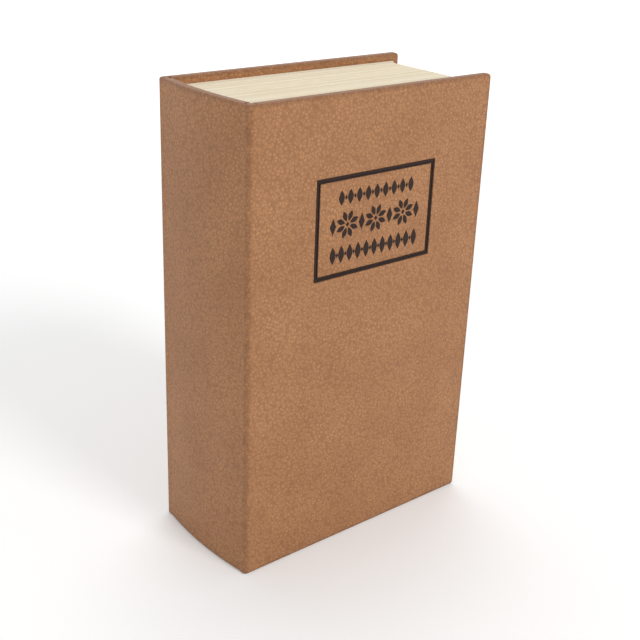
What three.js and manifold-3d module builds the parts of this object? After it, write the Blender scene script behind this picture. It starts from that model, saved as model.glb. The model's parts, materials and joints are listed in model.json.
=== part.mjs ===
// A book safe: a steel cash tray with a hinged, locking lid, hidden in a hollow hardback book.
//
// Millimetres. The book stands upright on its tail: X runs from the spine to the fore-edge,
// Y from the front cover to the back cover, and Z from the tail to the head.
// The origin is under the middle of the book, on the surface that it stands on.

import * as THREE from "three";
import { mergeVertices } from "three/addons/utils/BufferGeometryUtils.js";
import Module from "manifold-3d";

const wasm = await Module();
wasm.setup();

// The book
const bookWidth = 115;
const bookThickness = 55;
const bookHeight = 180;
const spineCrown = 1.8;

// The case: three boards wrapped in one covering, with paper glued over the turned-in edges
const boardThickness = 2.3;
const skinThickness = 0.6;
const paperThickness = 0.3;
const glueLine = 0.05;
const turnIn = 14;
const paperMargin = 3;
const paperSetback = 0.6;
const infillFit = 0.3;
const jointGap = 0.3;
const edgeEase = 0.45;
const coverCorner = 1.5;

// The title plate, let into the front cover
const plateWidth = 57;
const plateHeight = 38;
const plateCentreHeight = 132;
const plateCentreFromMiddle = 2;
const plateCorner = 0.4;
const plateRecess = 0.4;
const plateFit = 0.1;
const plateBorder = 1.6;
const plateFieldDepth = 0.15;

// The block of pages round the steel box
const coverSquare = 3.5;
const closingGap = 0.35;
const pageStripWidth = 9;
const spineGap = 0.3;
const pageLineCount = 18;
const pageLineDepth = 0.35;

// The steel box
const sheetSteel = 0.8;
const trayCorner = 3;
const rimWidth = 4;
const lidRecess = 4;
const lidSkirt = 7;
const lidFit = 0.4;
const wellGap = 0.5;
const fieldHeight = 1;
const fieldSlope = 1.4;
const fieldMargin = 5;
const fieldHingeMargin = 12;
const fieldCorner = 4;

// The lid's hinge
const knuckleRadius = 1.7;
const knuckleCount = 7;
const knuckleGap = 0.3;
const leafThickness = 0.6;
const leafSeat = 0.1;
const leafRimGap = 0.3;
const trayLeafWidth = 10;
const lidLeafWidth = 10;
const pinRadius = 1;
const pinFit = 0.1;
const pinEnd = 0.6;
const hingeSetback = 4.3;
const hingeLength = 126;
const lidOverhang = 0.5;

// The rivets that hold the tray to the back board
const rivetRadius = 1.6;
const rivetHeadRadius = 3;
const rivetHeadHeight = 1.1;
const rivetTailRadius = 2.6;
const rivetTailHeight = 0.7;
const rivetFit = 0.2;
const rivetInset = 12;

// The cam lock in the lid
const lockInset = 16.5;
const bezelRadius = 8.5;
const bezelThickness = 1.6;
const bezelChamfer = 0.5;
const housingRadius = 6.2;
const housingFlat = 5.4;
const housingLength = 17;
const housingFit = 0.2;
const plugRadius = 4.8;
const plugFit = 0.1;
const plugStandOff = 0.3;
const waferThickness = 1;
const waferPitch = 2.6;
const waferInset = 1.6;
const waferWidth = 4.8;
const waferHeight = 7.8;
const waferFit = 0.1;
const nutAcrossFlats = 15;
const nutThickness = 2.4;
const nutFit = 0.1;
const camThickness = 1.6;
const camHubRadius = 5.2;
const camReach = 12.5;
const camTipRadius = 3.4;
const camSeat = 4.2;
const camFit = 0.1;
const washerRadius = 3.3;
const washerThickness = 0.5;
const screwRadius = 1.2;
const screwFit = 0.1;
const screwHeadRadius = 2.7;
const screwHeadHeight = 1.7;
const screwLength = 3.5;
const screwSlot = 0.7;

// The strike that the cam turns behind
const strikeThickness = 1;
const strikeHeight = 24;
const strikeLip = 5.5;
const strikeFoot = 12;
const strikeGap = 1;

// The keys, left in the tray on their ring
const keyThickness = 1.6;
const keyBowRadius = 9;
const keyHoleRadius = 3.2;
const keyHoleWeb = 2.4;
const keyBladeLength = 15.5;
const keyBladeWidth = 4.4;
const keyNeckWidth = 7;
const keyNeckLength = 3.5;
const keyCutDepth = 0.9;
const keyFit = 0.2;
const keyGap = 0.3;
const ringRadius = 11;
const ringWire = 0.6;
const ringFromHinge = 18;

// Angles, shares, counts of facets, and the overrun of a cut past the face that it opens
const ringLeanAngle = THREE.MathUtils.degToRad(30);
const keyFanAngles = [-14, 6].map(THREE.MathUtils.degToRad);
const bowFlatteningShare = 0.88;
const keyCutShares = [0.6, 1, 0.35, 0.8];
const roundDivisions = 16;
const smallDivisions = 10;
const cornerDivisions = 2;
const wireSides = 8;
const overrun = 1;
const mergeDistance = 1e-4;

// The case's planes
const panelThickness = boardThickness + 2 * (skinThickness + glueLine);
const linedPanel = panelThickness + glueLine + paperThickness;
const jointRadius = panelThickness / 2;
const jointReach = 2 * jointRadius + jointGap;

const spineFace = -bookWidth / 2;
const foreFace = bookWidth / 2;
const frontFace = -bookThickness / 2;
const backFace = bookThickness / 2;
const shoulder = spineFace + spineCrown;
const jointX = shoulder + jointRadius;
const coverStart = shoulder + jointReach;
const coverWidth = foreFace - coverStart;
const frontInside = frontFace + linedPanel;
const backInside = backFace - linedPanel;

// The spine is an arc in plan, through its crown and its two shoulders
const spineHalf = bookThickness / 2 - jointReach;
const spineRadius = (spineHalf ** 2 + spineCrown ** 2) / (2 * spineCrown);
const spineCentre = spineFace + spineRadius;

// The page block and the well in it
const pageFront = frontInside + closingGap;
const pageBack = backInside - glueLine;
const pageFore = foreFace - coverSquare;
const pageHead = bookHeight - coverSquare;
const pageTail = coverSquare;
const wellSpine = shoulder + linedPanel + glueLine;
const wellFore = pageFore - pageStripWidth;
const wellHead = pageHead - pageStripWidth;
const wellTail = pageTail + pageStripWidth;

// The lid, its hinge, and the tray under it
const lidFace = pageFront + lidRecess;
const lidInside = lidFace + sheetSteel;
const lidFore = wellFore - wellGap;
const lidHead = wellHead - wellGap;
const lidTail = wellTail + wellGap;
const hingeX = wellSpine + hingeSetback;
const hingeY = lidInside + leafSeat + knuckleRadius;
const hingeFoot = (bookHeight - hingeLength) / 2;
const lidHingeEdge = hingeX - lidOverhang;

const rimFace = lidInside + leafSeat + leafThickness + leafRimGap;
const trayHingeSide = hingeX + knuckleRadius + glueLine;
const trayFore = lidFore - sheetSteel - lidFit;
const trayHead = lidHead - sheetSteel - lidFit;
const trayTail = lidTail + sheetSteel + lidFit;
const trayBack = pageBack;
const trayFloor = trayBack - sheetSteel;

// The lock stands in the lid's raised field
const lockX = lidFore - lockInset;
const lockZ = bookHeight / 2;
const lockSeat = lidFace - fieldHeight;
const plugFace = -glueLine - bezelThickness;
const plugShoulder = housingLength + plugStandOff;

const paint = {
  cloth: finish(0xaf7e58, 0.62, 0),
  foil: finish(0x33201a, 0.5, 0),
  board: finish(0x8d877c, 0.95, 0),
  paper: finish(0xe9dfca, 0.9, 0),
  pages: finish(0xf0e8d6, 0.92, 0),
  steel: finish(0x1c1c1e, 0.48, 0.2),
  zinc: finish(0xb4b8bb, 0.36, 0.9),
  chrome: finish(0xd6d9dc, 0.14, 1),
  brass: finish(0xb9975b, 0.3, 0.95),
};

function finish(color, roughness, metalness) {
  return new THREE.MeshStandardMaterial({ color, roughness, metalness });
}

// A three.js geometry as a solid that can be cut and joined.
function solidOf(geometry) {
  const bare = geometry.clone();
  bare.deleteAttribute("normal");
  bare.deleteAttribute("uv");
  const merged = mergeVertices(bare, mergeDistance);
  const mesh = new wasm.Mesh({
    numProp: 3,
    vertProperties: merged.attributes.position.array,
    triVerts: new Uint32Array(merged.index.array),
  });
  return new wasm.Manifold(mesh);
}

// A cut or joined solid as a three.js geometry.
function geometryOf(solid) {
  const mesh = solid.getMesh();
  const geometry = new THREE.BufferGeometry();
  geometry.setAttribute("position", new THREE.BufferAttribute(mesh.vertProperties, mesh.numProp));
  geometry.setIndex(new THREE.BufferAttribute(mesh.triVerts, 1));
  geometry.computeVertexNormals();
  return geometry;
}

function addNode(parent, name, solid, material) {
  const mesh = new THREE.Mesh(geometryOf(solid), material);
  mesh.name = name;
  parent.add(mesh);
  return mesh;
}

// A box from its lowest and highest x, y and z.
function block([x0, x1], [y0, y1], [z0, z1]) {
  const geometry = new THREE.BoxGeometry(x1 - x0, y1 - y0, z1 - z0);
  geometry.translate((x0 + x1) / 2, (y0 + y1) / 2, (z0 + z1) / 2);
  return solidOf(geometry);
}

function outlineOf(points) {
  return new THREE.Shape(points.map(([u, v]) => new THREE.Vector2(u, v)));
}

function disc([u, v], radius) {
  const outline = new THREE.Shape();
  outline.absarc(u, v, radius, 0, 2 * Math.PI);
  return outline;
}

function roundedRectangle([u0, u1], [v0, v1], radius) {
  const quarter = Math.PI / 2;
  const outline = new THREE.Shape();
  outline.absarc(u1 - radius, v1 - radius, radius, 0, quarter);
  outline.absarc(u0 + radius, v1 - radius, radius, quarter, 2 * quarter);
  outline.absarc(u0 + radius, v0 + radius, radius, 2 * quarter, 3 * quarter);
  outline.absarc(u1 - radius, v0 + radius, radius, 3 * quarter, 4 * quarter);
  outline.closePath();
  return outline;
}

function extruded(outline, length, divisions) {
  return new THREE.ExtrudeGeometry(outline, {
    depth: length,
    bevelEnabled: false,
    curveSegments: divisions,
  });
}

// An outline in x and y, drawn up from z0 to z1.
function prism(outline, [z0, z1], divisions = cornerDivisions) {
  return solidOf(extruded(outline, z1 - z0, divisions).translate(0, 0, z0));
}

// An outline in x and z, drawn through from y0 to y1.
function slab(outline, [y0, y1], divisions = cornerDivisions) {
  return solidOf(extruded(outline, y1 - y0, divisions).rotateX(Math.PI / 2).translate(0, y1, 0));
}

// An outline in y and z, drawn along from x0 to x1.
function rail(outline, [x0, x1], divisions = cornerDivisions) {
  const turn = new THREE.Matrix4().makeBasis(
    new THREE.Vector3(0, 1, 0),
    new THREE.Vector3(0, 0, 1),
    new THREE.Vector3(1, 0, 0),
  );
  return solidOf(extruded(outline, x1 - x0, divisions).applyMatrix4(turn).translate(x0, 0, 0));
}

// The solid between two like outlines in x and z, one at y0 and one at y1.
function loft(outline0, y0, outline1, y1) {
  const ends = [outline0, outline1].map((outline) => outline.getPoints(cornerDivisions).slice(0, -1));
  const count = ends[0].length;
  const positions = [
    ...ends[0].flatMap((point) => [point.x, y0, point.y]),
    ...ends[1].flatMap((point) => [point.x, y1, point.y]),
  ];
  const index = [];
  for (let i = 0; i < count; i++) {
    const next = (i + 1) % count;
    index.push(i, count + next, next, i, count + i, count + next);
  }
  for (const [a, b, c] of THREE.ShapeUtils.triangulateShape(ends[0], [])) {
    index.push(a, b, c);
    index.push(count + a, count + c, count + b);
  }
  const geometry = new THREE.BufferGeometry();
  geometry.setAttribute("position", new THREE.Float32BufferAttribute(positions, 3));
  geometry.setIndex(index);
  return solidOf(geometry);
}

// A solid turned about a line along Y through [x, z], from [radius, y] pairs, lowest y first.
function turned(profile, [x, z] = [0, 0], divisions = roundDivisions) {
  const points = profile.map(([radius, y]) => new THREE.Vector2(radius, y));
  return solidOf(new THREE.LatheGeometry(points, 2 * divisions).translate(x, 0, z));
}

function roundBar(radius, [y0, y1], centre, divisions) {
  return turned([[0, y0], [radius, y0], [radius, y1], [0, y1]], centre, divisions);
}

// A cover board in its covering, in the cover's own frame: x from 0 at the joint to the fore-edge,
// y from 0 at the outer face inwards, and z from the tail to the head.
// The covering turns in over the head, the tail and the fore-edge, and paper covers the rest.
function wrappedCover() {
  const boardFront = skinThickness + glueLine;
  const boardBack = boardFront + boardThickness;
  const boardTail = skinThickness + glueLine;
  const boardHead = bookHeight - boardTail;
  const boardFore = coverWidth - skinThickness - glueLine;
  const windowFore = coverWidth - turnIn;

  const cavity = block(
    [-overrun, boardFore + glueLine],
    [boardFront - glueLine, boardBack + glueLine],
    [boardTail - glueLine, boardHead + glueLine],
  );
  const window = block(
    [-overrun, windowFore],
    [boardFront, panelThickness + overrun],
    [turnIn, bookHeight - turnIn],
  );
  const covering = easedPanel().subtract(cavity).subtract(window);
  const board = block([0, boardFore], [boardFront, boardBack], [boardTail, boardHead]);
  const sheet = block(
    [paperSetback, coverWidth - paperMargin],
    [panelThickness + glueLine, linedPanel],
    [paperMargin, bookHeight - paperMargin],
  );
  const infill = block(
    [paperSetback, windowFore - infillFit],
    [boardBack + glueLine, linedPanel],
    [turnIn + infillFit, bookHeight - turnIn - infillFit],
  );
  return { covering, board, lining: sheet.add(infill) };
}

// The outer form of a wrapped cover: flat at the joint, with round corners at the fore-edge,
// and edges eased by the covering's fold.
function easedPanel() {
  const outlineIn = (inset) =>
    roundedRectangle([-2 * coverCorner, coverWidth - inset], [inset, bookHeight - inset], coverCorner);
  const front = loft(outlineIn(edgeEase), 0, outlineIn(0), edgeEase);
  const middle = slab(outlineIn(0), [edgeEase, panelThickness - edgeEase]);
  const back = loft(outlineIn(0), panelThickness - edgeEase, outlineIn(edgeEase), panelThickness);
  const pastJoint = block(
    [-coverWidth, 0],
    [-overrun, panelThickness + overrun],
    [-overrun, bookHeight + overrun],
  );
  return front.add(middle).add(back).subtract(pastJoint);
}

function makeFrontCover() {
  const group = new THREE.Group();
  group.position.set(coverStart, frontFace, 0);
  const { covering, board, lining } = wrappedCover();
  const plateOutline = (inset) => {
    const centre = plateCentreFromMiddle - coverStart;
    const halfWidth = plateWidth / 2 - inset;
    const halfHeight = plateHeight / 2 - inset;
    return roundedRectangle(
      [centre - halfWidth, centre + halfWidth],
      [plateCentreHeight - halfHeight, plateCentreHeight + halfHeight],
      Math.max(plateCorner - inset, plateFit),
    );
  };
  const recess = slab(plateOutline(0), [-overrun, plateRecess]);
  const field = slab(plateOutline(plateBorder), [-overrun, plateFieldDepth]);
  const plate = slab(plateOutline(plateFit), [0, plateRecess - glueLine]).subtract(field);
  addNode(group, "front_covering", covering.subtract(recess), paint.cloth);
  addNode(group, "front_board", board, paint.board);
  addNode(group, "front_pastedown", lining, paint.paper);
  addNode(group, "title_plate", plate, paint.foil);
  return group;
}

// The back cover is the front cover's form turned over about X, so its outer face looks along +Y.
function makeBackCover() {
  const group = new THREE.Group();
  group.position.set(coverStart, backFace, bookHeight);
  group.rotation.x = Math.PI;
  let { covering, board, lining } = wrappedCover();
  for (const [x, z] of rivetPlaces()) {
    const hole = rivetHole([x - coverStart, bookHeight - z]);
    board = board.subtract(hole);
    lining = lining.subtract(hole);
  }
  addNode(group, "back_covering", covering, paint.cloth);
  addNode(group, "back_board", board, paint.board);
  addNode(group, "back_pastedown", lining, paint.paper);
  return group;
}

// The spine's arc in plan between two depths from its outer face, as wide as its board or less.
function spineBand([depth0, depth1], inset = 0) {
  const half = spineHalf - inset;
  const [outer, inner] = [spineRadius - depth0, spineRadius - depth1];
  const [outerAngle, innerAngle] = [Math.asin(half / outer), Math.asin(half / inner)];
  const outline = new THREE.Shape();
  outline.absarc(spineCentre, 0, outer, Math.PI - outerAngle, Math.PI + outerAngle, false);
  outline.absarc(spineCentre, 0, inner, Math.PI + innerAngle, Math.PI - innerAngle, true);
  outline.closePath();
  return outline;
}

function makeSpine() {
  const group = new THREE.Group();
  const boardFront = skinThickness + glueLine;
  const boardBack = boardFront + boardThickness;
  const boardTail = skinThickness + glueLine;
  const boardHead = bookHeight - boardTail;
  const band = (depths, heights, inset) => prism(spineBand(depths, inset), heights, roundDivisions / 4);

  const whole = band([0, panelThickness], [0, bookHeight]);
  const cavity = band(
    [boardFront - glueLine, boardBack + glueLine],
    [boardTail - glueLine, boardHead + glueLine],
    -overrun,
  );
  const window = band([boardFront, panelThickness + overrun], [turnIn, bookHeight - turnIn], -overrun);
  const board = band([boardFront, boardBack], [boardTail, boardHead]);
  const sheet = band(
    [panelThickness + glueLine, linedPanel],
    [paperMargin, bookHeight - paperMargin],
    paperSetback,
  );
  const infill = band(
    [boardBack + glueLine, linedPanel],
    [turnIn + infillFit, bookHeight - turnIn - infillFit],
    paperSetback,
  );
  addNode(group, "spine_covering", whole.subtract(cavity).subtract(window), paint.cloth);
  addNode(group, "spine_board", board, paint.board);
  addNode(group, "spine_lining", sheet.add(infill), paint.paper);
  return group;
}

// The covering's roll at each side of the spine: the front cover turns about the front one.
function makeJoints() {
  const group = new THREE.Group();
  const roll = (y) => prism(disc([jointX, y], jointRadius), [0, bookHeight], smallDivisions);
  addNode(group, "front_joint", roll(frontFace + jointRadius), paint.cloth);
  addNode(group, "back_joint", roll(backFace - jointRadius), paint.cloth);
  return group;
}

// Points along one edge of the pages, from the front to the back, with a groove between bundles:
// each is [y, depth of the groove].
function pageEdge() {
  const pitch = (pageBack - pageFront) / pageLineCount;
  const points = [[pageFront, 0]];
  for (let i = 1; i < pageLineCount; i++) {
    const groove = pageFront + i * pitch;
    points.push([groove - pageLineDepth, 0], [groove, pageLineDepth], [groove + pageLineDepth, 0]);
  }
  points.push([pageBack, 0]);
  return points;
}

// The block of pages, grooved on its three cut edges and rounded to the spine, then cut into strips.
function makePages() {
  const group = new THREE.Group();
  const radius = spineRadius - linedPanel - spineGap;
  const plan = outlineOf(pageEdge().map(([y, depth]) => [pageFore - depth, y]));
  const [backAngle, frontAngle] = [pageBack, -pageFront].map((half) => Math.asin(half / radius));
  plan.absarc(spineCentre, 0, radius, Math.PI - backAngle, Math.PI + frontAngle, false);
  plan.closePath();
  const section = outlineOf([
    ...pageEdge().map(([y, depth]) => [y, pageTail + depth]),
    ...pageEdge().reverse().map(([y, depth]) => [y, pageHead - depth]),
  ]);
  const whole = prism(plan, [pageTail, pageHead], roundDivisions / 4)
    .intersect(rail(section, [spineFace, foreFace]));

  const strip = (across, heights) => whole.intersect(block(across, [frontFace, backFace], heights));
  const everyX = [spineFace, foreFace];
  addNode(group, "pages_head", strip(everyX, [wellHead, bookHeight]), paint.pages);
  addNode(group, "pages_tail", strip(everyX, [0, wellTail]), paint.pages);
  const between = [wellTail + glueLine, wellHead - glueLine];
  addNode(group, "pages_fore_edge", strip([wellFore, foreFace], between), paint.pages);
  return group;
}

function rivetPlaces() {
  const xs = [trayHingeSide + rivetInset, trayFore - rivetInset];
  const zs = [trayTail + rivetInset, trayHead - rivetInset];
  return xs.flatMap((x) => zs.map((z) => [x, z]));
}

// The hole through the back board and its paper for a rivet, in the cover's own frame.
function rivetHole(centre) {
  const boardFront = skinThickness + glueLine;
  const recess = [boardFront - overrun, boardFront + rivetTailHeight + rivetFit];
  const wide = roundBar(rivetTailRadius + rivetFit, recess, centre, smallDivisions);
  const through = [boardFront, linedPanel + overrun];
  return wide.add(roundBar(rivetRadius + rivetFit, through, centre, smallDivisions));
}

function makeTray() {
  const group = new THREE.Group();
  const outlineIn = (inset) =>
    roundedRectangle(
      [trayHingeSide + inset, trayFore - inset],
      [trayTail + inset, trayHead - inset],
      Math.max(trayCorner - inset, sheetSteel),
    );
  const inside = slab(outlineIn(sheetSteel), [rimFace + sheetSteel, trayFloor]);
  const mouth = slab(outlineIn(sheetSteel + rimWidth), [rimFace - overrun, rimFace + sheetSteel + overrun]);
  let tray = slab(outlineIn(0), [rimFace, trayBack]).subtract(inside).subtract(mouth);
  for (const centre of rivetPlaces()) {
    const through = [trayFloor - overrun, trayBack + overrun];
    tray = tray.subtract(roundBar(rivetRadius + rivetFit, through, centre, smallDivisions));
  }
  addNode(group, "steel_tray", tray, paint.steel);
  addNode(group, "lock_strike", strike(), paint.zinc);
  rivetPlaces().forEach((centre, i) => {
    addNode(group, `tray_rivet_${i + 1}`, rivet(centre), paint.zinc);
  });
  return group;
}

// A rivet from its domed head on the tray's floor to its set tail in the back board.
function rivet(centre) {
  const headSeat = trayFloor - glueLine;
  const crown = headSeat - rivetHeadHeight;
  const tailFace = backFace - skinThickness - glueLine;
  const tailSeat = tailFace - rivetTailHeight;
  const profile = [
    [0, crown],
    [rivetHeadRadius / 2, crown],
    [rivetHeadRadius, headSeat - rivetHeadHeight / 2],
    [rivetHeadRadius, headSeat],
    [rivetRadius, headSeat],
    [rivetRadius, tailSeat],
    [rivetTailRadius, tailSeat],
    [rivetTailRadius, tailFace],
    [0, tailFace],
  ];
  return turned(profile, centre, smallDivisions);
}

// The bracket on the tray's fore wall: its lip stands just in front of the cam's path.
function strike() {
  const lipBack = lockSeat + plugShoulder + camFit - strikeGap;
  const lipFront = lipBack - strikeThickness;
  const wall = trayFore - sheetSteel - glueLine;
  const face = wall - strikeThickness;
  const tip = face - strikeLip;
  const foot = lipBack + strikeFoot;
  const outline = outlineOf([
    [wall, lipFront],
    [wall, foot],
    [face, foot],
    [face, lipBack],
    [tip, lipBack],
    [tip, lipFront],
  ]);
  return prism(outline, [lockZ - strikeHeight / 2, lockZ + strikeHeight / 2]);
}

// The lid is one pressed sheet: a panel with a raised field, and a skirt on its three free sides.
function makeLid() {
  const group = new THREE.Group();
  const skirtEnd = lidFace + lidSkirt;
  const pastHinge = lidHingeEdge - 2 * trayCorner;
  const panel = (inset) =>
    roundedRectangle(
      [pastHinge, lidFore - inset],
      [lidTail + inset, lidHead - inset],
      Math.max(trayCorner - inset, sheetSteel),
    );
  const field = (inset) =>
    roundedRectangle(
      [hingeX + fieldHingeMargin + inset, lidFore - fieldMargin - inset],
      [lidTail + fieldMargin + inset, lidHead - fieldMargin - inset],
      fieldCorner,
    );
  // The sheet's outer side, and the same pressing one thickness further in.
  const pressing = (inset, end) => {
    const face = lidFace + inset;
    const top = face - fieldHeight;
    const foot = field(inset);
    return slab(panel(inset), [face, end])
      .add(slab(foot, [face, end]))
      .add(loft(field(inset + fieldSlope), top, foot, face));
  };
  const everyHeight = [lidTail - overrun, lidHead + overrun];
  const overHinge = block(
    [pastHinge - overrun, trayHingeSide],
    [lidInside, skirtEnd + overrun],
    everyHeight,
  );
  const pastEdge = block(
    [pastHinge - overrun, lidHingeEdge],
    [lockSeat - overrun, skirtEnd + overrun],
    everyHeight,
  );
  const lockHole = housingForm(housingFit, [lockSeat - overrun, lidInside + overrun], [lockX, lockZ]);
  const lid = pressing(0, skirtEnd)
    .subtract(pressing(sheetSteel, skirtEnd + overrun))
    .subtract(overHinge)
    .subtract(pastEdge)
    .subtract(lockHole);
  addNode(group, "steel_lid", lid, paint.steel);
  addNode(group, "lid_hinge_leaf", hingeLeaf(lidLeafPlate(), 1), paint.steel);
  return group;
}

function lidLeafPlate() {
  const front = hingeY - knuckleRadius;
  return block([hingeX, hingeX + lidLeafWidth], [front, front + leafThickness], hingeSpan());
}

function trayLeafPlate() {
  const far = hingeX + knuckleRadius;
  return block([far - leafThickness, far], [hingeY, hingeY + trayLeafWidth], hingeSpan());
}

function hingeSpan(beyond = 0) {
  return [hingeFoot - beyond, hingeFoot + hingeLength + beyond];
}

// A hinge leaf with every second knuckle, clear of the other leaf's knuckles and bored for the pin.
function hingeLeaf(plate, firstKnuckle) {
  const pitch = hingeLength / knuckleCount;
  const bar = (radius, span) => prism(disc([hingeX, hingeY], radius), span, smallDivisions);
  let leaf = plate;
  for (let i = 0; i < knuckleCount; i++) {
    const foot = hingeFoot + i * pitch;
    const half = knuckleGap / 2;
    if (i % 2 === firstKnuckle) {
      leaf = leaf.add(bar(knuckleRadius, [foot + half, foot + pitch - half]));
    } else {
      leaf = leaf.subtract(bar(knuckleRadius + knuckleGap, [foot - half, foot + pitch + half]));
    }
  }
  return leaf.subtract(bar(pinRadius + pinFit, hingeSpan(overrun)));
}

function makeTrayHinge() {
  const group = new THREE.Group();
  addNode(group, "tray_hinge_leaf", hingeLeaf(trayLeafPlate(), 0), paint.steel);
  const pin = prism(disc([hingeX, hingeY], pinRadius), hingeSpan(pinEnd), smallDivisions);
  addNode(group, "lid_hinge_pin", pin, paint.zinc);
  return group;
}

// The lock's round body with its two flats, grown by a fit.
function housingForm(fit, [y0, y1], [x, z]) {
  const flats = block(
    [x - housingFlat - fit, x + housingFlat + fit],
    [y0 - overrun, y1 + overrun],
    [z - housingRadius - overrun, z + housingRadius + overrun],
  );
  return roundBar(housingRadius + fit, [y0, y1], [x, z]).intersect(flats);
}

// What is fixed in the lid. The lock has its own frame: y from 0 at the lid's raised field, inwards.
function makeLockHousing() {
  const group = new THREE.Group();
  group.position.set(lockX, lockSeat, lockZ);
  const bezelSeat = plugFace + bezelThickness;
  const bezel = turned([
    [0, plugFace],
    [bezelRadius - bezelChamfer, plugFace],
    [bezelRadius, plugFace + bezelChamfer],
    [bezelRadius, bezelSeat],
    [0, bezelSeat],
  ]);
  const body = housingForm(0, [plugFace + bezelChamfer, housingLength], [0, 0]);
  const bore = roundBar(plugRadius + plugFit, [plugFace - overrun, housingLength + overrun]);
  addNode(group, "lock_housing", bezel.add(body).subtract(bore), paint.chrome);
  addNode(group, "lock_nut", lockNut(), paint.zinc);
  return group;
}

function lockNut() {
  const corner = nutAcrossFlats / 2 / Math.cos(Math.PI / 6);
  const angles = [0, 1, 2, 3, 4, 5].map((side) => (side * Math.PI) / 3);
  const hexagon = outlineOf(angles.map((angle) => [corner * Math.cos(angle), corner * Math.sin(angle)]));
  const front = sheetSteel + glueLine;
  const back = front + nutThickness;
  const hole = roundBar(housingRadius + nutFit, [front - overrun, back + overrun]);
  return slab(hexagon, [front, back]).subtract(hole);
}

// What the key turns: the plug, its cam, and the washer and screw that hold the cam on.
function makeLockPlug() {
  const group = new THREE.Group();
  group.position.set(lockX, lockSeat, lockZ);
  const camBack = plugShoulder + camThickness - camFit;
  const washerFront = camBack + camFit + glueLine;
  addNode(group, "lock_plug", lockPlug(), paint.chrome);
  keyCutShares.forEach((share, i) => {
    addNode(group, `lock_wafer_${i + 1}`, wafer(i), paint.brass);
  });
  addNode(group, "lock_cam", cam([plugShoulder + camFit, camBack]), paint.zinc);
  addNode(group, "cam_washer", camWasher([washerFront, washerFront + washerThickness]), paint.zinc);
  addNode(group, "cam_screw", camScrew(washerFront + washerThickness + glueLine), paint.zinc);
  return group;
}

// The plug, with its keyway, a slot across it for each wafer, and the square seat of the cam.
function lockPlug() {
  const end = plugShoulder + camThickness;
  const halfSeat = camSeat / 2 - camFit;
  const seat = block([-halfSeat, halfSeat], [plugShoulder - overrun, end], [-halfSeat, halfSeat]);
  const halfWidth = keyThickness / 2 + keyFit;
  const halfHeight = keyBladeWidth / 2 + keyFit;
  const keyway = block(
    [-halfWidth, halfWidth],
    [plugFace - overrun, plugFace + keyBladeLength + keyFit],
    [-halfHeight, halfHeight],
  );
  const threadSpan = [end - screwLength, end + overrun];
  const thread = roundBar(screwRadius + screwFit, threadSpan, [0, 0], smallDivisions);
  let plug = roundBar(plugRadius, [plugFace, plugShoulder]).add(seat).subtract(keyway).subtract(thread);
  keyCutShares.forEach((share, i) => {
    const halfSlot = waferWidth / 2 + waferFit;
    const [y0, y1] = waferSpan(i);
    const across = [-plugRadius - overrun, plugRadius + overrun];
    plug = plug.subtract(block([-halfSlot, halfSlot], [y0 - waferFit, y1 + waferFit], across));
  });
  return plug;
}

function waferSpan(i) {
  const front = waferInset + i * waferPitch;
  return [front, front + waferThickness];
}

// A wafer drawn where its key holds it, at the plug's surface. Its window is as tall as the blade,
// and lies lower, or on every second wafer higher, by the depth of the key's cut there.
function wafer(i) {
  const [y0, y1] = waferSpan(i);
  const side = i % 2 === 0 ? 1 : -1;
  const shift = -side * (keyCutDepth * keyCutShares[i] - keyFit);
  const halfWindow = keyBladeWidth / 2 + keyFit;
  const halfGap = keyThickness / 2 + keyFit;
  const plate = block([-waferWidth / 2, waferWidth / 2], [y0, y1], [-waferHeight / 2, waferHeight / 2]);
  const window = block(
    [-halfGap, halfGap],
    [y0 - overrun, y1 + overrun],
    [shift - halfWindow, shift + halfWindow],
  );
  return plate.subtract(window);
}

// The cam hangs down from its hub while the lock is open.
function cam([y0, y1]) {
  const outline = new THREE.Shape();
  outline.absarc(0, 0, camHubRadius, 0, Math.PI);
  outline.absarc(0, camTipRadius - camReach, camTipRadius, Math.PI, 2 * Math.PI);
  outline.closePath();
  const halfSeat = camSeat / 2;
  const seat = block([-halfSeat, halfSeat], [y0 - overrun, y1 + overrun], [-halfSeat, halfSeat]);
  return slab(outline, [y0, y1], smallDivisions / 2).subtract(seat);
}

function camWasher([y0, y1]) {
  const hole = roundBar(screwRadius + screwFit, [y0 - overrun, y1 + overrun], [0, 0], smallDivisions);
  return roundBar(washerRadius, [y0, y1], [0, 0], smallDivisions).subtract(hole);
}

function camScrew(seat) {
  const crown = seat + screwHeadHeight;
  const slotFloor = crown - screwHeadHeight / 2;
  const profile = [
    [0, seat + screwFit - screwLength],
    [screwRadius, seat + screwFit - screwLength],
    [screwRadius, seat],
    [screwHeadRadius, seat],
    [screwHeadRadius, slotFloor],
    [screwHeadRadius / 2, crown],
    [0, crown],
  ];
  const long = [-screwHeadRadius / 2, screwHeadRadius / 2];
  const wide = [-screwSlot / 2, screwSlot / 2];
  const deep = [slotFloor, crown + overrun];
  return turned(profile, [0, 0], smallDivisions)
    .subtract(block(long, deep, wide))
    .subtract(block(wide, deep, long));
}

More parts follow.
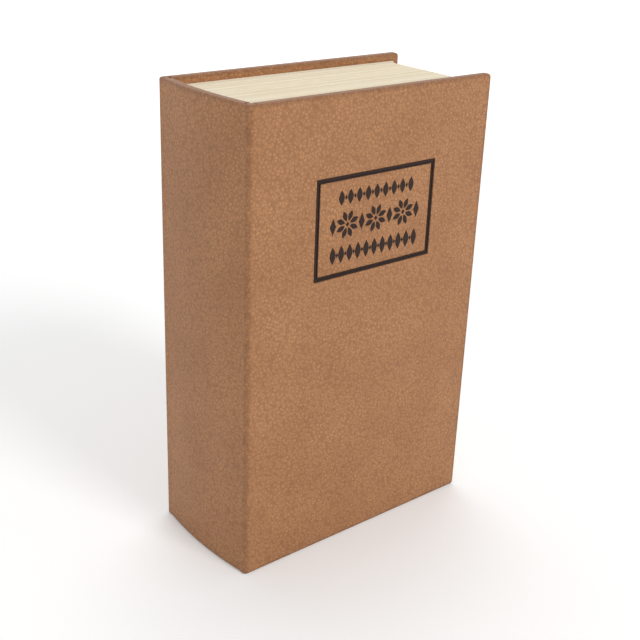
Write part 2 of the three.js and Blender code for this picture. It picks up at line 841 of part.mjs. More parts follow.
// A key lying flat, with the hole for the ring at the origin and its blade along x.
// It is cut alike on both edges, so that it goes in either way up.
function keySolid() {
  const bowCentre = keyBowRadius - keyHoleWeb - keyHoleRadius;
  const bowEnd = bowCentre + keyBowRadius;
  const neckEnd = bowEnd + keyNeckLength;
  const half = keyBladeWidth / 2;
  const tip = neckEnd + keyBladeLength;
  const flat = [0, keyThickness];

  const bow = new THREE.Shape();
  bow.absellipse(bowCentre, 0, keyBowRadius, keyBowRadius * bowFlatteningShare, 0, 2 * Math.PI);
  bow.holes.push(disc([0, 0], keyHoleRadius));
  const neckWidth = [-keyNeckWidth / 2, keyNeckWidth / 2];
  const neck = block([bowCentre + keyHoleRadius, neckEnd], neckWidth, flat);

  // One flat-bottomed cut for each wafer, where the wafer is once the key is home.
  const cuts = (side) =>
    keyCutShares.flatMap((share, i) => {
      const [y0, y1] = waferSpan(i);
      const start = neckEnd + y0 - plugFace;
      const end = neckEnd + y1 - plugFace;
      const depth = keyCutDepth * share;
      return [
        [start - depth / 2, side * half],
        [start, side * (half - depth)],
        [end, side * (half - depth)],
        [end + depth / 2, side * half],
      ];
    });
  const blade = outlineOf([
    [bowEnd, -half],
    ...cuts(-1),
    [tip - half, -half],
    [tip, 0],
    [tip - half, half],
    ...cuts(1).reverse(),
    [bowEnd, half],
  ]);
  return prism(bow, flat, smallDivisions).add(neck).add(prism(blade, flat));
}

// The ring leans on the tray's floor and runs through both keys, whose blades rest on the tail wall.
function makeKeys() {
  const group = new THREE.Group();
  const wallTop = trayTail + sheetSteel;
  const wireFoot = new THREE.Vector3(
    hingeX + ringFromHinge,
    trayFloor - keyGap - ringWire - 2 * ringRadius * Math.sin(ringLeanAngle),
    wallTop + keyGap + ringWire,
  );
  const wire = solidOf(new THREE.TorusGeometry(ringRadius, ringWire, wireSides, 2 * roundDivisions));
  const ring = addNode(group, "key_ring", wire, paint.zinc);
  ring.rotation.x = Math.PI / 2 - ringLeanAngle;
  ring.position.copy(wireFoot);
  ring.position.y += ringRadius * Math.sin(ringLeanAngle);
  ring.position.z += ringRadius * Math.cos(ringLeanAngle);

  const reach = 2 * keyBowRadius - keyHoleWeb - keyHoleRadius + keyNeckLength + keyBladeLength;
  const firstRise = 2 * ringWire + keyGap;
  const tilt = Math.asin(firstRise / reach);
  keyFanAngles.forEach((fan, i) => {
    const low = ringWire + keyGap + i * (keyThickness + keyGap);
    const along = (low + keyThickness / 2) / Math.cos(ringLeanAngle);
    const across = Math.sqrt(ringRadius ** 2 - (ringRadius - along) ** 2);
    const key = addNode(group, `key_${i + 1}`, keySolid(), paint.brass);
    key.position.set(across, along * Math.sin(ringLeanAngle), low).add(wireFoot);
    key.rotation.set(0, tilt, fan);
  });
  return group;
}

const bookSafe = new THREE.Group();
bookSafe.add(
  makeFrontCover(),
  makeBackCover(),
  makeSpine(),
  makeJoints(),
  makePages(),
  makeTray(),
  makeLid(),
  makeTrayHinge(),
  makeLockHousing(),
  makeLockPlug(),
  makeKeys(),
);

export default bookSafe;
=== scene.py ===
# The looks of a book safe: a hollow hardback book that hides a steel cash tray with a locking lid.
#
# Lengths here are in millimetres, and become Blender's metres where a mesh is made. The frame is
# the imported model's: X runs from the spine to the fore-edge, Y from the front cover to the back
# cover, and Z from the tail to the head.

import json
import math
import random

import bmesh
import bpy
from mathutils import Matrix, Vector

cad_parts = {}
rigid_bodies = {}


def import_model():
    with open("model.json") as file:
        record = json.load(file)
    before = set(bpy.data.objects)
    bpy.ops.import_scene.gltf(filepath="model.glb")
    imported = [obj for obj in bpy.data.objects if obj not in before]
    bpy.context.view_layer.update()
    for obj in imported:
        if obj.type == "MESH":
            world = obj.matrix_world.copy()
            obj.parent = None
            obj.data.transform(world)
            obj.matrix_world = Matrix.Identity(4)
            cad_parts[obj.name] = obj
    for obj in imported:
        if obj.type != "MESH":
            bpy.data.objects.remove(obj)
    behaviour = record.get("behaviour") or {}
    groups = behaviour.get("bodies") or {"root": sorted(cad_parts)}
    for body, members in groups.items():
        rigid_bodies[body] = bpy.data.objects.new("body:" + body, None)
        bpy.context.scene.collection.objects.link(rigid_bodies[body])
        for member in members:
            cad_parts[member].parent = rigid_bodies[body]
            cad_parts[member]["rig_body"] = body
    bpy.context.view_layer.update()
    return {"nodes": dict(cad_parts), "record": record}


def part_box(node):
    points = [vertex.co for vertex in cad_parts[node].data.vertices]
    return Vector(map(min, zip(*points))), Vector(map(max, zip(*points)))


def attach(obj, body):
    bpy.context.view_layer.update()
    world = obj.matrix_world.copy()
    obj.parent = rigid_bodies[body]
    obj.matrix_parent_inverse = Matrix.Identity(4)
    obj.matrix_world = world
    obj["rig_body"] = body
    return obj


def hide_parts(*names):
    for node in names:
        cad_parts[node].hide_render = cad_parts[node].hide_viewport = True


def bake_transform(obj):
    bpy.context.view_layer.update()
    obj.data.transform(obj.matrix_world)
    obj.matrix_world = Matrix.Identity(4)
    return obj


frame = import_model()

MM = 0.001

# The camera
AZIMUTH = math.radians(-40.2)
ELEVATION = math.radians(23.1)
ROLL = math.radians(2.2)
EYE_DISTANCE = 434
AIM_DROP = 6.6
LENS = 61.5
NEAR_CLIP = 20
FAR_CLIP = 20000

# The floor and the lamps, in metres. A lamp has its place, its size and its watts.
FLOOR_RADIUS = 6.0
FLOOR_NEAR = 0.4
FLOOR_FAR = 2.5
FLOOR_LIFT_SHARE = 0.16
SKY_SHARE = 0.55
LAMP_AIM = (0, 0, 0.08)
LAMPS = {
    "key": ((0.6, -3.6, 2.7), 1.4, 72),
    "side": ((-3.8, 0.3, 1.8), 2.0, 9),
    "top": ((0.9, 1.4, 4.0), 2.6, 50),
}

# The covering and the papers
SKIN = 0.6
FOLD_RADIUS = 0.8
TURN_IN = 14
PAPER = 0.3
GLUE = 0.05
COVER_CORNER = 1.5
MITRE_GROOVE = 0.35
MITRE_DEPTH = 0.15
EDGE_EASE = 0.15
PAPER_CORNER = 0.6
INFILL_FIT = 0.3
DIP_START = 2
DIP_DEPTH = 0.2
DIP_SLOPE = 1.2
LINER = 0.22
LINER_CORNER = LINER / 3
LINER_EASE = LINER / 4

# The covering's grain and its burnished edges
PEBBLE = 1.25
FINE_PEBBLE = 0.48
CREASE_SHARE = 0.22
BURNISH_WIDTH = 1.7
BURNISH_WANDER = 0.6

# The joints
ROLL_FIT = 0.05
ROLL_INNER = 1.8
ROLL_INNER_DEGREES = (-42, 118)

# The title plate
PLATE_FIT = 0.1
PLATE_CORNER = 0.3
RULE_OUTER = 0.8
RULE_GAP = 0.45
RULE_INNER = 0.45
RULE_EASE = 0.08
RULE_GROOVE = 0.25
FIELD_DEPTH = 0.2
FIELD_EDGE = (0.3, 0.1)

# The ornament on it. A row of leaves has its count, pitch, height and width.
STAMP_HEIGHT = 0.14
STAMP_EASE = 0.08
ROW_SHARES = (0.785, 0.515, 0.225)
TOP_ROW = (9, 4.2, 5.6, 2.6)
FOOT_ROW = (11, 4.0, 6.6, 2.7)
LINK_SHARES = (0.3, 0.45)
FLOWER_PITCH = 13.6
FLOWER_LOZENGE = (2.9, 6.4)
FLOWER_HEART = 1.82
PETALS = 8
PETAL_START = 1.3
PETAL_LENGTH = 4.1
PETAL_WIDTH = 2.0

# The pages
LEAF_PITCH = 0.42
LEAF_GROOVE = 0.09
LEAF_JITTER = 0.16
LEAF_DRIFT_SHARE = 0.6
LEAF_SHARES = (0.3, 0.7)
LEAF_CREASE = math.radians(20)
LEAF_WAVE = 0.05
LEAF_STEP = 9
BUNDLE_LEAVES = (4, 8)
BUNDLE_GROOVE = 0.3

# The steel box
SHEET = 0.8
BEND = 1.2
HEM_EASE = 0.25
TRAY_CORNER = 3
TRAY_RIM = 4
FIELD_HEIGHT = 1.0
FIELD_SLOPE = 1.4
FIELD_MARGIN = 5
FIELD_HINGE_MARGIN = 12
FIELD_CORNER = 4
FIELD_ROUND = 0.35
HINGE_EASE = 0.12
HARDWARE_EASE = 0.2
RIVET_SHANK = 1.6
RIVET_FIT = 0.2
RIVET_TAIL = 2.55
RIVET_TAIL_HEIGHT = 0.7

# The lock
HOUSING_RADIUS = 6.2
HOUSING_FLAT = 5.4
HOUSING_FIT = 0.2
THREAD_PITCH = 1.0
THREAD_DEPTH = 0.3
BORE_GAP = 0.1
BEZEL_SLOPE = 1.35
BEZEL_EDGE = 0.45
BEZEL_STEP = 0.35
NUT_ACROSS = 15
NUT_FACE_RADIUS = 7.4
NUT_CHAMFER = 0.5
PLUG_EDGE = 0.25
PLUG_RIM = 0.9
PLUG_DISH = 0.12
PLUG_SEAT = 2.0
KEYWAY_WIDTH = 2.0
KEYWAY_HEIGHT = 4.8
KEYWAY_DEPTH = 15.7
KEYWAY_CORNER = 0.3
KEYWAY_EASE = 0.25
WAFER_FIT = 0.1
CAM_HUB = 5.2
CAM_TIP = 3.4
CAM_REACH = 12.5
CAM_SEAT = 2.1
SEAT_CORNER = 0.2
WASHER_EASE = 0.12
SCREW_RADIUS = 1.2
SCREW_FIT = 0.1
TAPPED_DEPTH = 3.5
HEAD_BRIM = 0.5
CROSS_ARM = 1.65
CROSS_HALF = 0.36
CROSS_DEPTH = 0.95
CROSS_TAPER_SHARE = 0.6

# The keys, each with the hole for the ring at its own origin and its blade along x
KEY_THICKNESS = 1.6
KEY_HOLE = 3.2
KEY_BOW_CENTRE = 3.4
KEY_BOW_LONG = 9.0
KEY_BOW_WIDE = 7.92
KEY_RIM = 1.3
KEY_PANEL = 0.25
KEY_NECK_END = 15.9
KEY_NECK = 3.5
KEY_NECK_CORNER = 1.0
KEY_NECK_FILLET = 0.4
KEY_BLADE = 2.2
KEY_TIP = 31.4
KEY_TIP_LENGTH = 2.4
KEY_NOSE = (0.6, 0.9)
KEY_CUT_DEPTH = 0.9
KEY_CUT_SHARES = (0.6, 1, 0.35, 0.8)
KEY_CUT_START = 19.15
KEY_CUT_PITCH = 2.6
KEY_CUT_WIDTH = 1.0
KEY_CUT_SLOPE_SHARE = 0.7
KEY_EASE = 0.18
KEY_GROOVE = 0.55
KEY_GROOVE_DEPTH = 0.3
KEY_GROOVE_SLOPE = 0.2
KEY_GROOVE_ENDS = (1.5, 3.2)
KEY_GAP = 0.3
KEY_FANS = [math.radians(degrees) for degrees in (-14, 6)]

# Their ring: one wire wound almost twice round, in two layers
RING_RADIUS = 11
RING_LAYER = 0.3
RING_WIRE = 0.29
RING_TURNS = 1.9
RING_LEAN = math.radians(30)
RING_START = math.radians(109)

# Counts of steps, the overrun of a cut, angles and tolerances
CORNER_STEPS = 6
FOLD_STEPS = 5
BEND_STEPS = 4
ARC_STEPS = 24
JOINT_STEPS = 8
LEAF_STEPS = 8
DOME_STEPS = 8
CAM_STEPS = 20
BOW_STEPS = 40
ROUND_STEPS = 48
TURN_STEPS = 72
THREAD_STEPS = 4
WIRE_STEPS = 10
RING_STEPS = 64
OVERRUN = 1
QUARTER = math.pi / 2
SMOOTH_ANGLE = math.radians(34)
SHARP_ANGLE = math.radians(25)
FLAT_ANGLE = math.radians(0.5)
MITRE_LIMIT = 0.2
LEVEL_FIT = 0.1
MERGE = 1e-4
SLIVER = 5e-4


def span(node):
    """The lowest and highest x, y and z of a CAD node, as three pairs."""
    low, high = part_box(node)
    return [(a / MM, b / MM) for a, b in zip(low, high)]


def middle(node):
    """The middle of a CAD node's box."""
    return Vector([(low + high) / 2 for low, high in span(node)])


def radius_of(node):
    """Half the width of a CAD node's box."""
    low, high = span(node)[0]
    return (high - low) / 2


slot_of = {part["node"]: part["material_slot"] for part in frame["record"]["subparts"]}

(cover_start, fore_face), (front_face, front_inner), (tail, head) = span("front_covering")
(spine_face, _), (spine_front, spine_back), _ = span("spine_covering")
shoulder = span("front_joint")[0][0]
back_face = span("back_covering")[1][1]
cover_width = fore_face - cover_start
book_height = head - tail
panel = front_inner - front_face
lined = panel + GLUE + PAPER
joint_radius = panel / 2
joint_centre = Vector((shoulder + joint_radius, front_face + joint_radius))

# The spine is an arc in plan, through its crown and its two shoulders
spine_crown = shoulder - spine_face
spine_radius = (spine_back**2 + spine_crown**2) / (2 * spine_crown)
spine_centre = Vector((spine_face + spine_radius, 0))

lock_x, _, lock_z = middle("lock_housing")
lock_seat = span("steel_lid")[1][0] - GLUE


# Forms: each is a list of points and a list of faces


def stacked(loops, capped=True):
    """The surface through closed loops of as many points each."""
    count = len(loops[0])
    points = [p for loop in loops for p in loop]
    faces = []
    for low in range(0, len(points) - count, count):
        for i in range(count):
            j = (i + 1) % count
            faces.append((low + i, low + j, low + count + j, low + count + i))
    if capped:
        faces.append(tuple(range(count)))
        faces.append(tuple(range(len(points) - count, len(points))))
    return points, faces


def pit(loops):
    """The surface through closed loops, open at the first and closed at the last."""
    points, faces = stacked(loops, capped=False)
    return points, faces + [tuple(range(len(points) - len(loops[-1]), len(points)))]


def folded(rows):
    """The surface through open rows of as many points each, and the side between the rows' ends."""
    count = len(rows[0])
    points = [p for row in rows for p in row]
    starts = list(range(0, len(points), count))
    faces = [tuple(starts + [start + count - 1 for start in reversed(starts)])]
    for low in starts[:-1]:
        for i in range(low, low + count - 1):
            faces.append((i, i + 1, i + count + 1, i + count))
    return points, faces


def joined(*forms):
    points, faces = [], []
    for more_points, more_faces in forms:
        start = len(points)
        points += more_points
        faces += [tuple(start + i for i in face) for face in more_faces]
    return points, faces


def arc(centre, radius, start, sweep, steps=CORNER_STEPS):
    """Points along an arc, both its ends among them."""
    angles = [start + sweep * i / steps for i in range(steps + 1)]
    return [(centre[0] + radius * math.cos(a), centre[1] + radius * math.sin(a)) for a in angles]


def rounded_rectangle(us, vs, radius, inset=0, steps=CORNER_STEPS):
    """A rectangle with rounded corners, its sides moved in by an inset."""
    reach = radius + inset
    (u0, u1), (v0, v1) = (us[0] + reach, us[1] - reach), (vs[0] + reach, vs[1] - reach)
    loop = []
    for quarter, corner in enumerate([(u1, v1), (u0, v1), (u0, v0), (u1, v0)]):
        loop += arc(corner, radius, quarter * QUARTER, QUARTER, steps)
    return loop


def circle(centre, radius, steps=ROUND_STEPS):
    return arc(centre, radius, 0, math.tau, steps)[:-1]


def at_y(loop, y):
    return [(u, y, v) for u, v in loop]


def at_z(loop, z):
    return [(u, v, z) for u, v in loop]


def levels(outline, profile):
    """The loops that an outline has at pairs of inset and y."""
    return [at_y(outline(inset), y) for inset, y in profile]


def drawn(outline, profile, capped=True):
    """The surface through those loops."""
    return stacked(levels(outline, profile), capped)


def through(outline, ends, at=at_y):
    """An outline drawn straight through from the first of two ends to the other."""
    return stacked([at(outline, end) for end in ends])


def up_z(outline, z0, z1, ease):
    """An outline in x and y drawn up from z0 to z1, its end edges eased."""
    small = shrunk(outline, ease)
    return stacked([at_z(small, z0), at_z(outline, z0 + ease), at_z(outline, z1 - ease), at_z(small, z1)])


def shrunk(outline, inset):
    """A convex outline with each side moved in."""
    loop = []
    for i, point in enumerate(outline):
        after = outline[(i + 1) % len(outline)]
        total = side_normal(outline[i - 1], point) + side_normal(point, after)
        share = total.length_squared / 2
        loop.append(tuple(Vector(point) + total * (inset / max(share, MITRE_LIMIT))))
    return loop


def side_normal(a, b):
    """The inward normal of a side of an outline that runs anticlockwise."""
    side = (Vector(b) - Vector(a)).normalized()
    return Vector((-side.y, side.x))


def bend(side, y, radius, across, along, steps=BEND_STEPS):
    """Points round an eased edge, from its face at y to its side. Across and along are the signs of
    the ways into the material."""
    quarter = arc((radius, radius), radius, -QUARTER, -QUARTER, steps)
    return [(side + across * u, y + along * v) for u, v in quarter]


def ridge(start, end, y, ease, along):
    """Points over a narrow face at y, from one side of it to the other."""
    foot = y + along * ease
    return [(start, foot), (start + ease, y), (end - ease, y), (end, foot)]


def dome(radius, base, crown):
    """Radius and y pairs over a dome, from its base nearly to its crown."""
    quarter = arc((0, 0), 1, 0, QUARTER, DOME_STEPS)[:-1]
    return [(radius * u, base + (crown - base) * v) for u, v in quarter]


# Pieces


def mesh_of(name, form, rims=()):
    """A form as a mesh. Where it is open at one of the y levels in rims, the flat there is filled."""
    points, faces = form
    mesh = bpy.data.meshes.new(name)
    mesh.from_pydata([[c * MM for c in p] for p in points], [], faces)
    shape = bmesh.new()
    shape.from_mesh(mesh)
    cleaned(shape, MERGE)
    for level in rims:
        rim = [edge for edge in shape.edges if edge.is_boundary and lies_at(edge, level)]
        bmesh.ops.triangle_fill(shape, use_beauty=True, use_dissolve=False, edges=rim)
    return closed(shape, mesh)


def lies_at(edge, level):
    return all(abs(v.co.y / MM - level) < LEVEL_FIT for v in edge.verts)


def cleaned(shape, reach):
    bmesh.ops.remove_doubles(shape, verts=shape.verts, dist=reach * MM)
    bmesh.ops.dissolve_degenerate(shape, edges=shape.edges, dist=reach * MM)


def closed(shape, mesh):
    """Writes a shape to its mesh with its faces pointing out."""
    bmesh.ops.recalc_face_normals(shape, faces=shape.faces)
    shape.to_mesh(mesh)
    shape.free()
    return mesh


def linked(name, data):
    """A new object in the scene."""
    obj = bpy.data.objects.new(name, data)
    bpy.context.scene.collection.objects.link(obj)
    return obj


def cut(mesh, tools):
    """A mesh with closed forms cut out of it."""
    whole = linked("whole", mesh)
    tool = linked("tool", mesh_of("tool", joined(*tools)))
    modifier = whole.modifiers.new("cut", "BOOLEAN")
    modifier.operation = "DIFFERENCE"
    modifier.solver = "EXACT"
    modifier.object = tool
    graph = bpy.context.evaluated_depsgraph_get()
    result = bpy.data.meshes.new_from_object(whole.evaluated_get(graph))
    for obj in (whole, tool):
        bpy.data.objects.remove(obj)
    return result


def placed(name, mesh, body, slot, replaced, crease=SMOOTH_ANGLE, blended=None):
    """A mesh as an object that has its slot's finish and stands for CAD nodes. It moves with a body, unless
    blended, when it keeps its place in the world.
    """
    mesh.materials.clear()
    mesh.materials.append(paints[slot])
    mesh.shade_smooth()
    mesh.set_sharp_from_angle(angle=crease)
    obj = linked(name, mesh)
    if blended:
        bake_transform(obj)
    else:
        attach(obj, body)
    if replaced:
        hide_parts(*replaced)


def piece(name, form, body, slot, replaced=(), rims=(), cuts=(), **finish):
    """A form placed as a mesh, with its rims filled and its cuts taken out."""
    mesh = mesh_of(name, form, rims)
    placed(name, cut(mesh, cuts) if cuts else mesh, body, slot, replaced, **finish)


def stands_for(node, name, form, **more):
    """A form that takes a CAD node's place, body and slot."""
    piece(name, form, frame["nodes"][node]["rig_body"], slot_of[node], [node], **more)


def finished(node, ease):
    """A CAD node's own form with its sharp edges eased."""
    source = frame["nodes"][node]
    shape = bmesh.new()
    shape.from_mesh(source.data)
    cleaned(shape, SLIVER)
    bmesh.ops.dissolve_limit(shape, angle_limit=FLAT_ANGLE, verts=shape.verts, edges=shape.edges)
    sharp = [e for e in shape.edges if e.calc_face_angle(0) > SHARP_ANGLE]
    rounding = {"segments": 2, "profile": 0.5, "affect": "EDGES", "clamp_overlap": True}
    bmesh.ops.bevel(shape, geom=sharp, offset=ease * MM, **rounding)
    cleaned(shape, SLIVER)
    name = node + "_finished"
    placed(name, closed(shape, bpy.data.meshes.new(name)), source["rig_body"], slot_of[node], [node])


# Materials


class Nodes:
    """The nodes of a material or a world, added one by one before its shader."""

    def __init__(self, owner, shader, **sockets):
        owner.use_nodes = True
        self.tree = owner.node_tree
        self.shader = self.tree.nodes[shader]
        for socket, value in sockets.items():
            self.shader.inputs[socket.replace("_", " ")].default_value = value

    def node(self, kind, inputs=(), out=0, **settings):
        made = self.tree.nodes.new("ShaderNode" + kind)
        for key, value in settings.items():
            setattr(made, key, value)
        for key, value in dict(inputs).items():
            if isinstance(value, bpy.types.NodeSocket):
                self.tree.links.new(value, made.inputs[key])
            else:
                made.inputs[key].default_value = value
        return made.outputs[out]

    def drive(self, socket, value):
        self.tree.links.new(value, self.shader.inputs[socket])

    def maths(self, operation, first, *others):
        for other in others:
            first = self.node("Math", {0: first, 1: other}, operation=operation)
        return first

    def ranged(self, value, low, high, to_low=0.0, to_high=1.0):
        inputs = {"Value": value, "From Min": low, "From Max": high, "To Min": to_low, "To Max": to_high}
        return self.node("MapRange", inputs, clamp=True)

    def seen(self):
        """1 for what the camera sees, directly, mirrored or through glass, and 0 for other light."""
        kinds = ("Camera", "Glossy", "Transmission")
        return self.maths("MAXIMUM", *[self.node("LightPath", out=f"Is {kind} Ray") for kind in kinds])


class Paint(Nodes):
    """A material with textures in millimetres."""

    def __init__(self, name, **sockets):
        self.material = bpy.data.materials.new(name)
        super().__init__(self.material, "Principled BSDF", **sockets)
        self.place = self.node("TexCoord", out="Object")

    def stretched(self, scale):
        return self.node("Mapping", {"Vector": self.place, "Scale": scale})

    def texture(self, kind, size, place=None, out=0, inputs=(), **settings):
        """A texture whose features are that many millimetres across."""
        inputs = {"Vector": place or self.place, "Scale": 1 / (size * MM), **dict(inputs)}
        return self.node("Tex" + kind, inputs, out, **settings)

    def noise(self, size, detail=3.0, roughness=0.5, place=None):
        return self.texture("Noise", size, place, inputs={"Detail": detail, "Roughness": roughness})

    def creases(self, size, place):
        """A net of cells with its borders at 0 and the rest at 1."""
        return self.ranged(self.texture("Voronoi", size, place, feature="DISTANCE_TO_EDGE"), 0, CREASE_SHARE)

    def warped(self, size, reach):
        """The place, shifted about by a noise of that size in millimetres."""
        shift = self.texture("Noise", size, out=1)
        centred = self.node("VectorMath", {0: shift, 1: (0.5, 0.5, 0.5)}, operation="SUBTRACT")
        scaled = self.node("VectorMath", {0: centred, "Scale": reach * MM}, operation="SCALE")
        return self.node("VectorMath", {0: self.place, 1: scaled}, operation="ADD")

    def coloured(self, base, *layers):
        """Lays layers over a base colour. Each has a value, where in it the layer starts and is
        strongest, its strength there and its colour."""
        base = colour(base)
        for value, low, high, strength, over in layers:
            share = self.ranged(value, low, high, 0, strength)
            base = self.node("Mix", {0: share, 6: base, 7: colour(over)}, out=2, data_type="RGBA")
        self.drive("Base Color", base)

    def bump(self, height, depth, strength):
        inputs = {"Height": height, "Distance": depth * MM, "Strength": strength}
        self.drive("Normal", self.node("Bump", inputs))


def colour(levels_of_255):
    """A colour from its three sRGB levels of 0 to 255."""
    shares = [level / 255 for level in levels_of_255]
    return [share / 12.92 if share <= 0.04045 else ((share + 0.055) / 1.055) ** 2.4 for share in shares] + [1]


def leatherette():
    """Grained covering: domed pebbles with creases between them, painted shade darkening the pebbles' sides
    and the creases, and burnished dark along its rubbed edges.
    """
    paint = Paint("leatherette", Specular_IOR_Level=0.36)
    place = paint.warped(size=2.2, reach=1.1)
    domes = paint.texture("Voronoi", PEBBLE, place, inputs={"Smoothness": 0.6}, feature="SMOOTH_F1")
    crease = paint.creases(PEBBLE, place)
    cloud = paint.noise(size=26, detail=4, roughness=0.55)
    rubbed = burnished(paint)
    # Painted shade: the pebbles' sides and the creases are darkened towards this colour, as if shaded in the
    # grain's hollows.
    hollow_shade = (140, 92, 56)
    paint.coloured(
        (184, 130, 86),
        (cloud, 0.35, 0.65, 1, (196, 141, 95)),
        (domes, 0.25, 0.75, 0.45, hollow_shade),
        (crease, 1, 0, 0.4, hollow_shade),
        (rubbed, 0, 1, 0.62, (118, 76, 46)),
    )
    paint.drive("Roughness", paint.ranged(rubbed, 0, 1, 0.52, 0.42))
    fine = paint.maths("MULTIPLY", paint.creases(FINE_PEBBLE, place), 0.22)
    pores = paint.maths("MULTIPLY", paint.noise(size=0.25, roughness=0.6), 0.2)
    height = paint.maths("SUBTRACT", paint.maths("MULTIPLY", crease, 0.5), domes)
    paint.bump(paint.maths("ADD", height, fine, pores), 0.3, 0.85)
    return paint.material


def burnished(paint):
    """How much a place is rubbed: 1 at the case's edges and at the spine's corners, and 0 inside."""
    x, y, z = [paint.node("SeparateXYZ", {"Vector": paint.place}, out=i) for i in range(3)]
    aside = paint.node("Math", {0: y}, operation="ABSOLUTE")
    above, below = paint.maths("SUBTRACT", z, tail * MM), paint.maths("SUBTRACT", head * MM, z)
    fore = paint.maths("SUBTRACT", fore_face * MM, x)
    corner = paint.maths("ADD", x, (back_face - shoulder) * MM, paint.maths("MULTIPLY", aside, -1))
    near = paint.maths("MINIMUM", above, below, fore, paint.maths("MULTIPLY", corner, 0.8))
    wander = paint.noise(size=3, detail=4, roughness=0.6)
    reach = BURNISH_WANDER * MM
    near = paint.maths("ADD", near, paint.ranged(wander, 0.3, 0.7, -reach, reach))
    return paint.ranged(near, BURNISH_WIDTH * MM, 0)


def foil():
    """Dark stamped foil with small breaks."""
    paint = Paint("stamped_foil", Roughness=0.5, Specular_IOR_Level=0.22)
    cloud = paint.noise(size=1.2, detail=4, roughness=0.7)
    paint.coloured((36, 20, 14), (cloud, 0.4, 0.7, 1, (52, 31, 22)))
    paint.bump(paint.noise(size=0.3), 0.03, 0.5)
    return paint.material


def paper():
    """Uncoated endpaper with faint fibres."""
    paint = Paint("endpaper", Roughness=0.88)
    fibre = paint.noise(size=0.6, detail=4, roughness=0.65)
    paint.coloured(
        (238, 229, 209),
        (fibre, 0.3, 0.7, 1, (230, 219, 196)),
        (paint.noise(size=40, detail=2), 0.4, 0.7, 0.35, (228, 214, 188)),
    )
    paint.bump(fibre, 0.03, 0.4)
    return paint.material


def page_edges():
    """The cut edges of the leaves: each leaf has its own tone, and darker bands across them are painted
    shade, standing in for the shade in the grooves where the bundles part.
    """
    paint = Paint("page_edges", Roughness=0.9)
    across = paint.stretched((0, 1, 0))
    leaf_tone = paint.noise(size=0.28, detail=1, place=across)
    # Painted shade: darker bands across the leaves, as the grooves between the bundles would be shaded.
    bundle_shade = paint.noise(size=2.6, detail=1, place=across)
    nick = paint.noise(size=0.4, roughness=0.6, place=paint.stretched((0.08, 1, 0.08)))
    paint.coloured(
        (248, 241, 225),
        (leaf_tone, 0.35, 0.65, 1, (216, 202, 173)),
        (bundle_shade, 0.42, 0.62, 0.6, (214, 197, 165)),
        (nick, 0.5, 0.8, 0.4, (204, 186, 154)),
        (paint.noise(size=24), 0.3, 0.8, 0.2, (220, 202, 168)),
    )
    paint.bump(leaf_tone, 0.08, 0.6)
    return paint.material


def powder_coat():
    """Black powder coat with its orange-peel skin."""
    paint = Paint("powder_coat")
    speck = paint.noise(size=0.2, detail=2, roughness=0.6)
    cloud = paint.noise(size=20)
    paint.coloured((26, 26, 28), (cloud, 0, 1, 1, (35, 35, 38)), (speck, 0.6, 0.75, 0.3, (62, 62, 66)))
    paint.drive("Roughness", paint.ranged(paint.noise(size=5), 0.3, 0.7, 0.36, 0.48))
    peel = paint.noise(size=0.75, detail=2)
    paint.bump(paint.maths("ADD", peel, paint.maths("MULTIPLY", speck, 0.2)), 0.1, 0.8)
    return paint.material


def plated(name, light, dark, rough, streak, depth):
    """Plated or polished metal with drawn streaks."""
    paint = Paint(name, Metallic=1.0, Roughness=rough)
    cloud = paint.noise(size=5, detail=4, roughness=0.6)
    paint.coloured(light, (cloud, 0.3, 0.7, 1, dark))
    lines = paint.noise(size=0.25, detail=4, roughness=0.6, place=paint.stretched(streak))
    paint.drive("Roughness", paint.ranged(lines, 0.3, 0.7, rough * 0.7, rough * 1.4))
    paint.bump(lines, depth, 0.4)
    return paint.material


def greyboard():
    """Pressed grey board with short fibres."""
    paint = Paint("greyboard", Roughness=0.95)
    fibre = paint.noise(size=0.5, detail=5, roughness=0.7)
    paint.coloured((150, 144, 133), (fibre, 0.35, 0.65, 1, (122, 116, 106)))
    paint.bump(fibre, 0.08, 0.6)
    return paint.material


paints = {
    "covering": leatherette(),
    "plate": foil(),
    "greyboard": greyboard(),
    "endpaper": paper(),
    "pages": page_edges(),
    "painted_steel": powder_coat(),
    "zinc_plate": plated("zinc_plate", (205, 208, 210), (176, 181, 186), 0.32, (1, 1, 0.05), 0.02),
    "lock_chrome": plated("lock_chrome", (228, 230, 232), (210, 213, 217), 0.13, (1, 1, 1), 0.01),
    "key_brass": plated("key_brass", (206, 172, 108), (184, 148, 86), 0.27, (0.05, 1, 1), 0.02),
}


def dress_nodes():
    """CAD nodes that stay get their slot's finish."""
    for name, obj in frame["nodes"].items():
        for held in obj.material_slots:
            held.material = paints[slot_of[name]]


# The covers, in a frame of their own: x from the joint, y inwards from the outer face, z from the tail


def on_front(point):
    x, y, z = point
    return (cover_start + x, front_face + y, tail + z)


def on_back(point):
    x, y, z = point
    return (cover_start + x, back_face - y, tail + z)


def wrapped_edge():
    """Inset and depth pairs from the outer face round a wrapped board's edge to its inner face."""
    outer = bend(0, 0, FOLD_RADIUS, 1, 1, FOLD_STEPS)
    return outer + bend(0, panel, FOLD_RADIUS, 1, -1, FOLD_STEPS)[::-1]


def wrap_profile():
    """The covering's section from the outer face, over the board's edge and back along its inside."""
    inside = panel - SKIN
    return wrapped_edge() + [
        (COVER_CORNER + MITRE_GROOVE, panel),
        (TURN_IN - EDGE_EASE, panel),
        (TURN_IN, panel - EDGE_EASE),
        (TURN_IN, inside),
        (SKIN, inside),
        (SKIN, SKIN),
    ]


def cover_path(inset):
    """The cover's edge, moved in by an inset: along the tail, up the fore-edge, and back. Each point
    has its x, its z and whether it lies on a corner's bend."""
    reach = max(inset, COVER_CORNER)
    corner = arc((cover_width - reach, reach), reach - inset, -QUARTER, QUARTER)
    half = [(0, inset, False), (cover_width - reach - MITRE_GROOVE, inset, False)]
    half += [(x, z, True) for x, z in corner]
    half.append((cover_width - inset, reach + MITRE_GROOVE, False))
    return half + [(x, book_height - z, bent) for x, z, bent in reversed(half)]


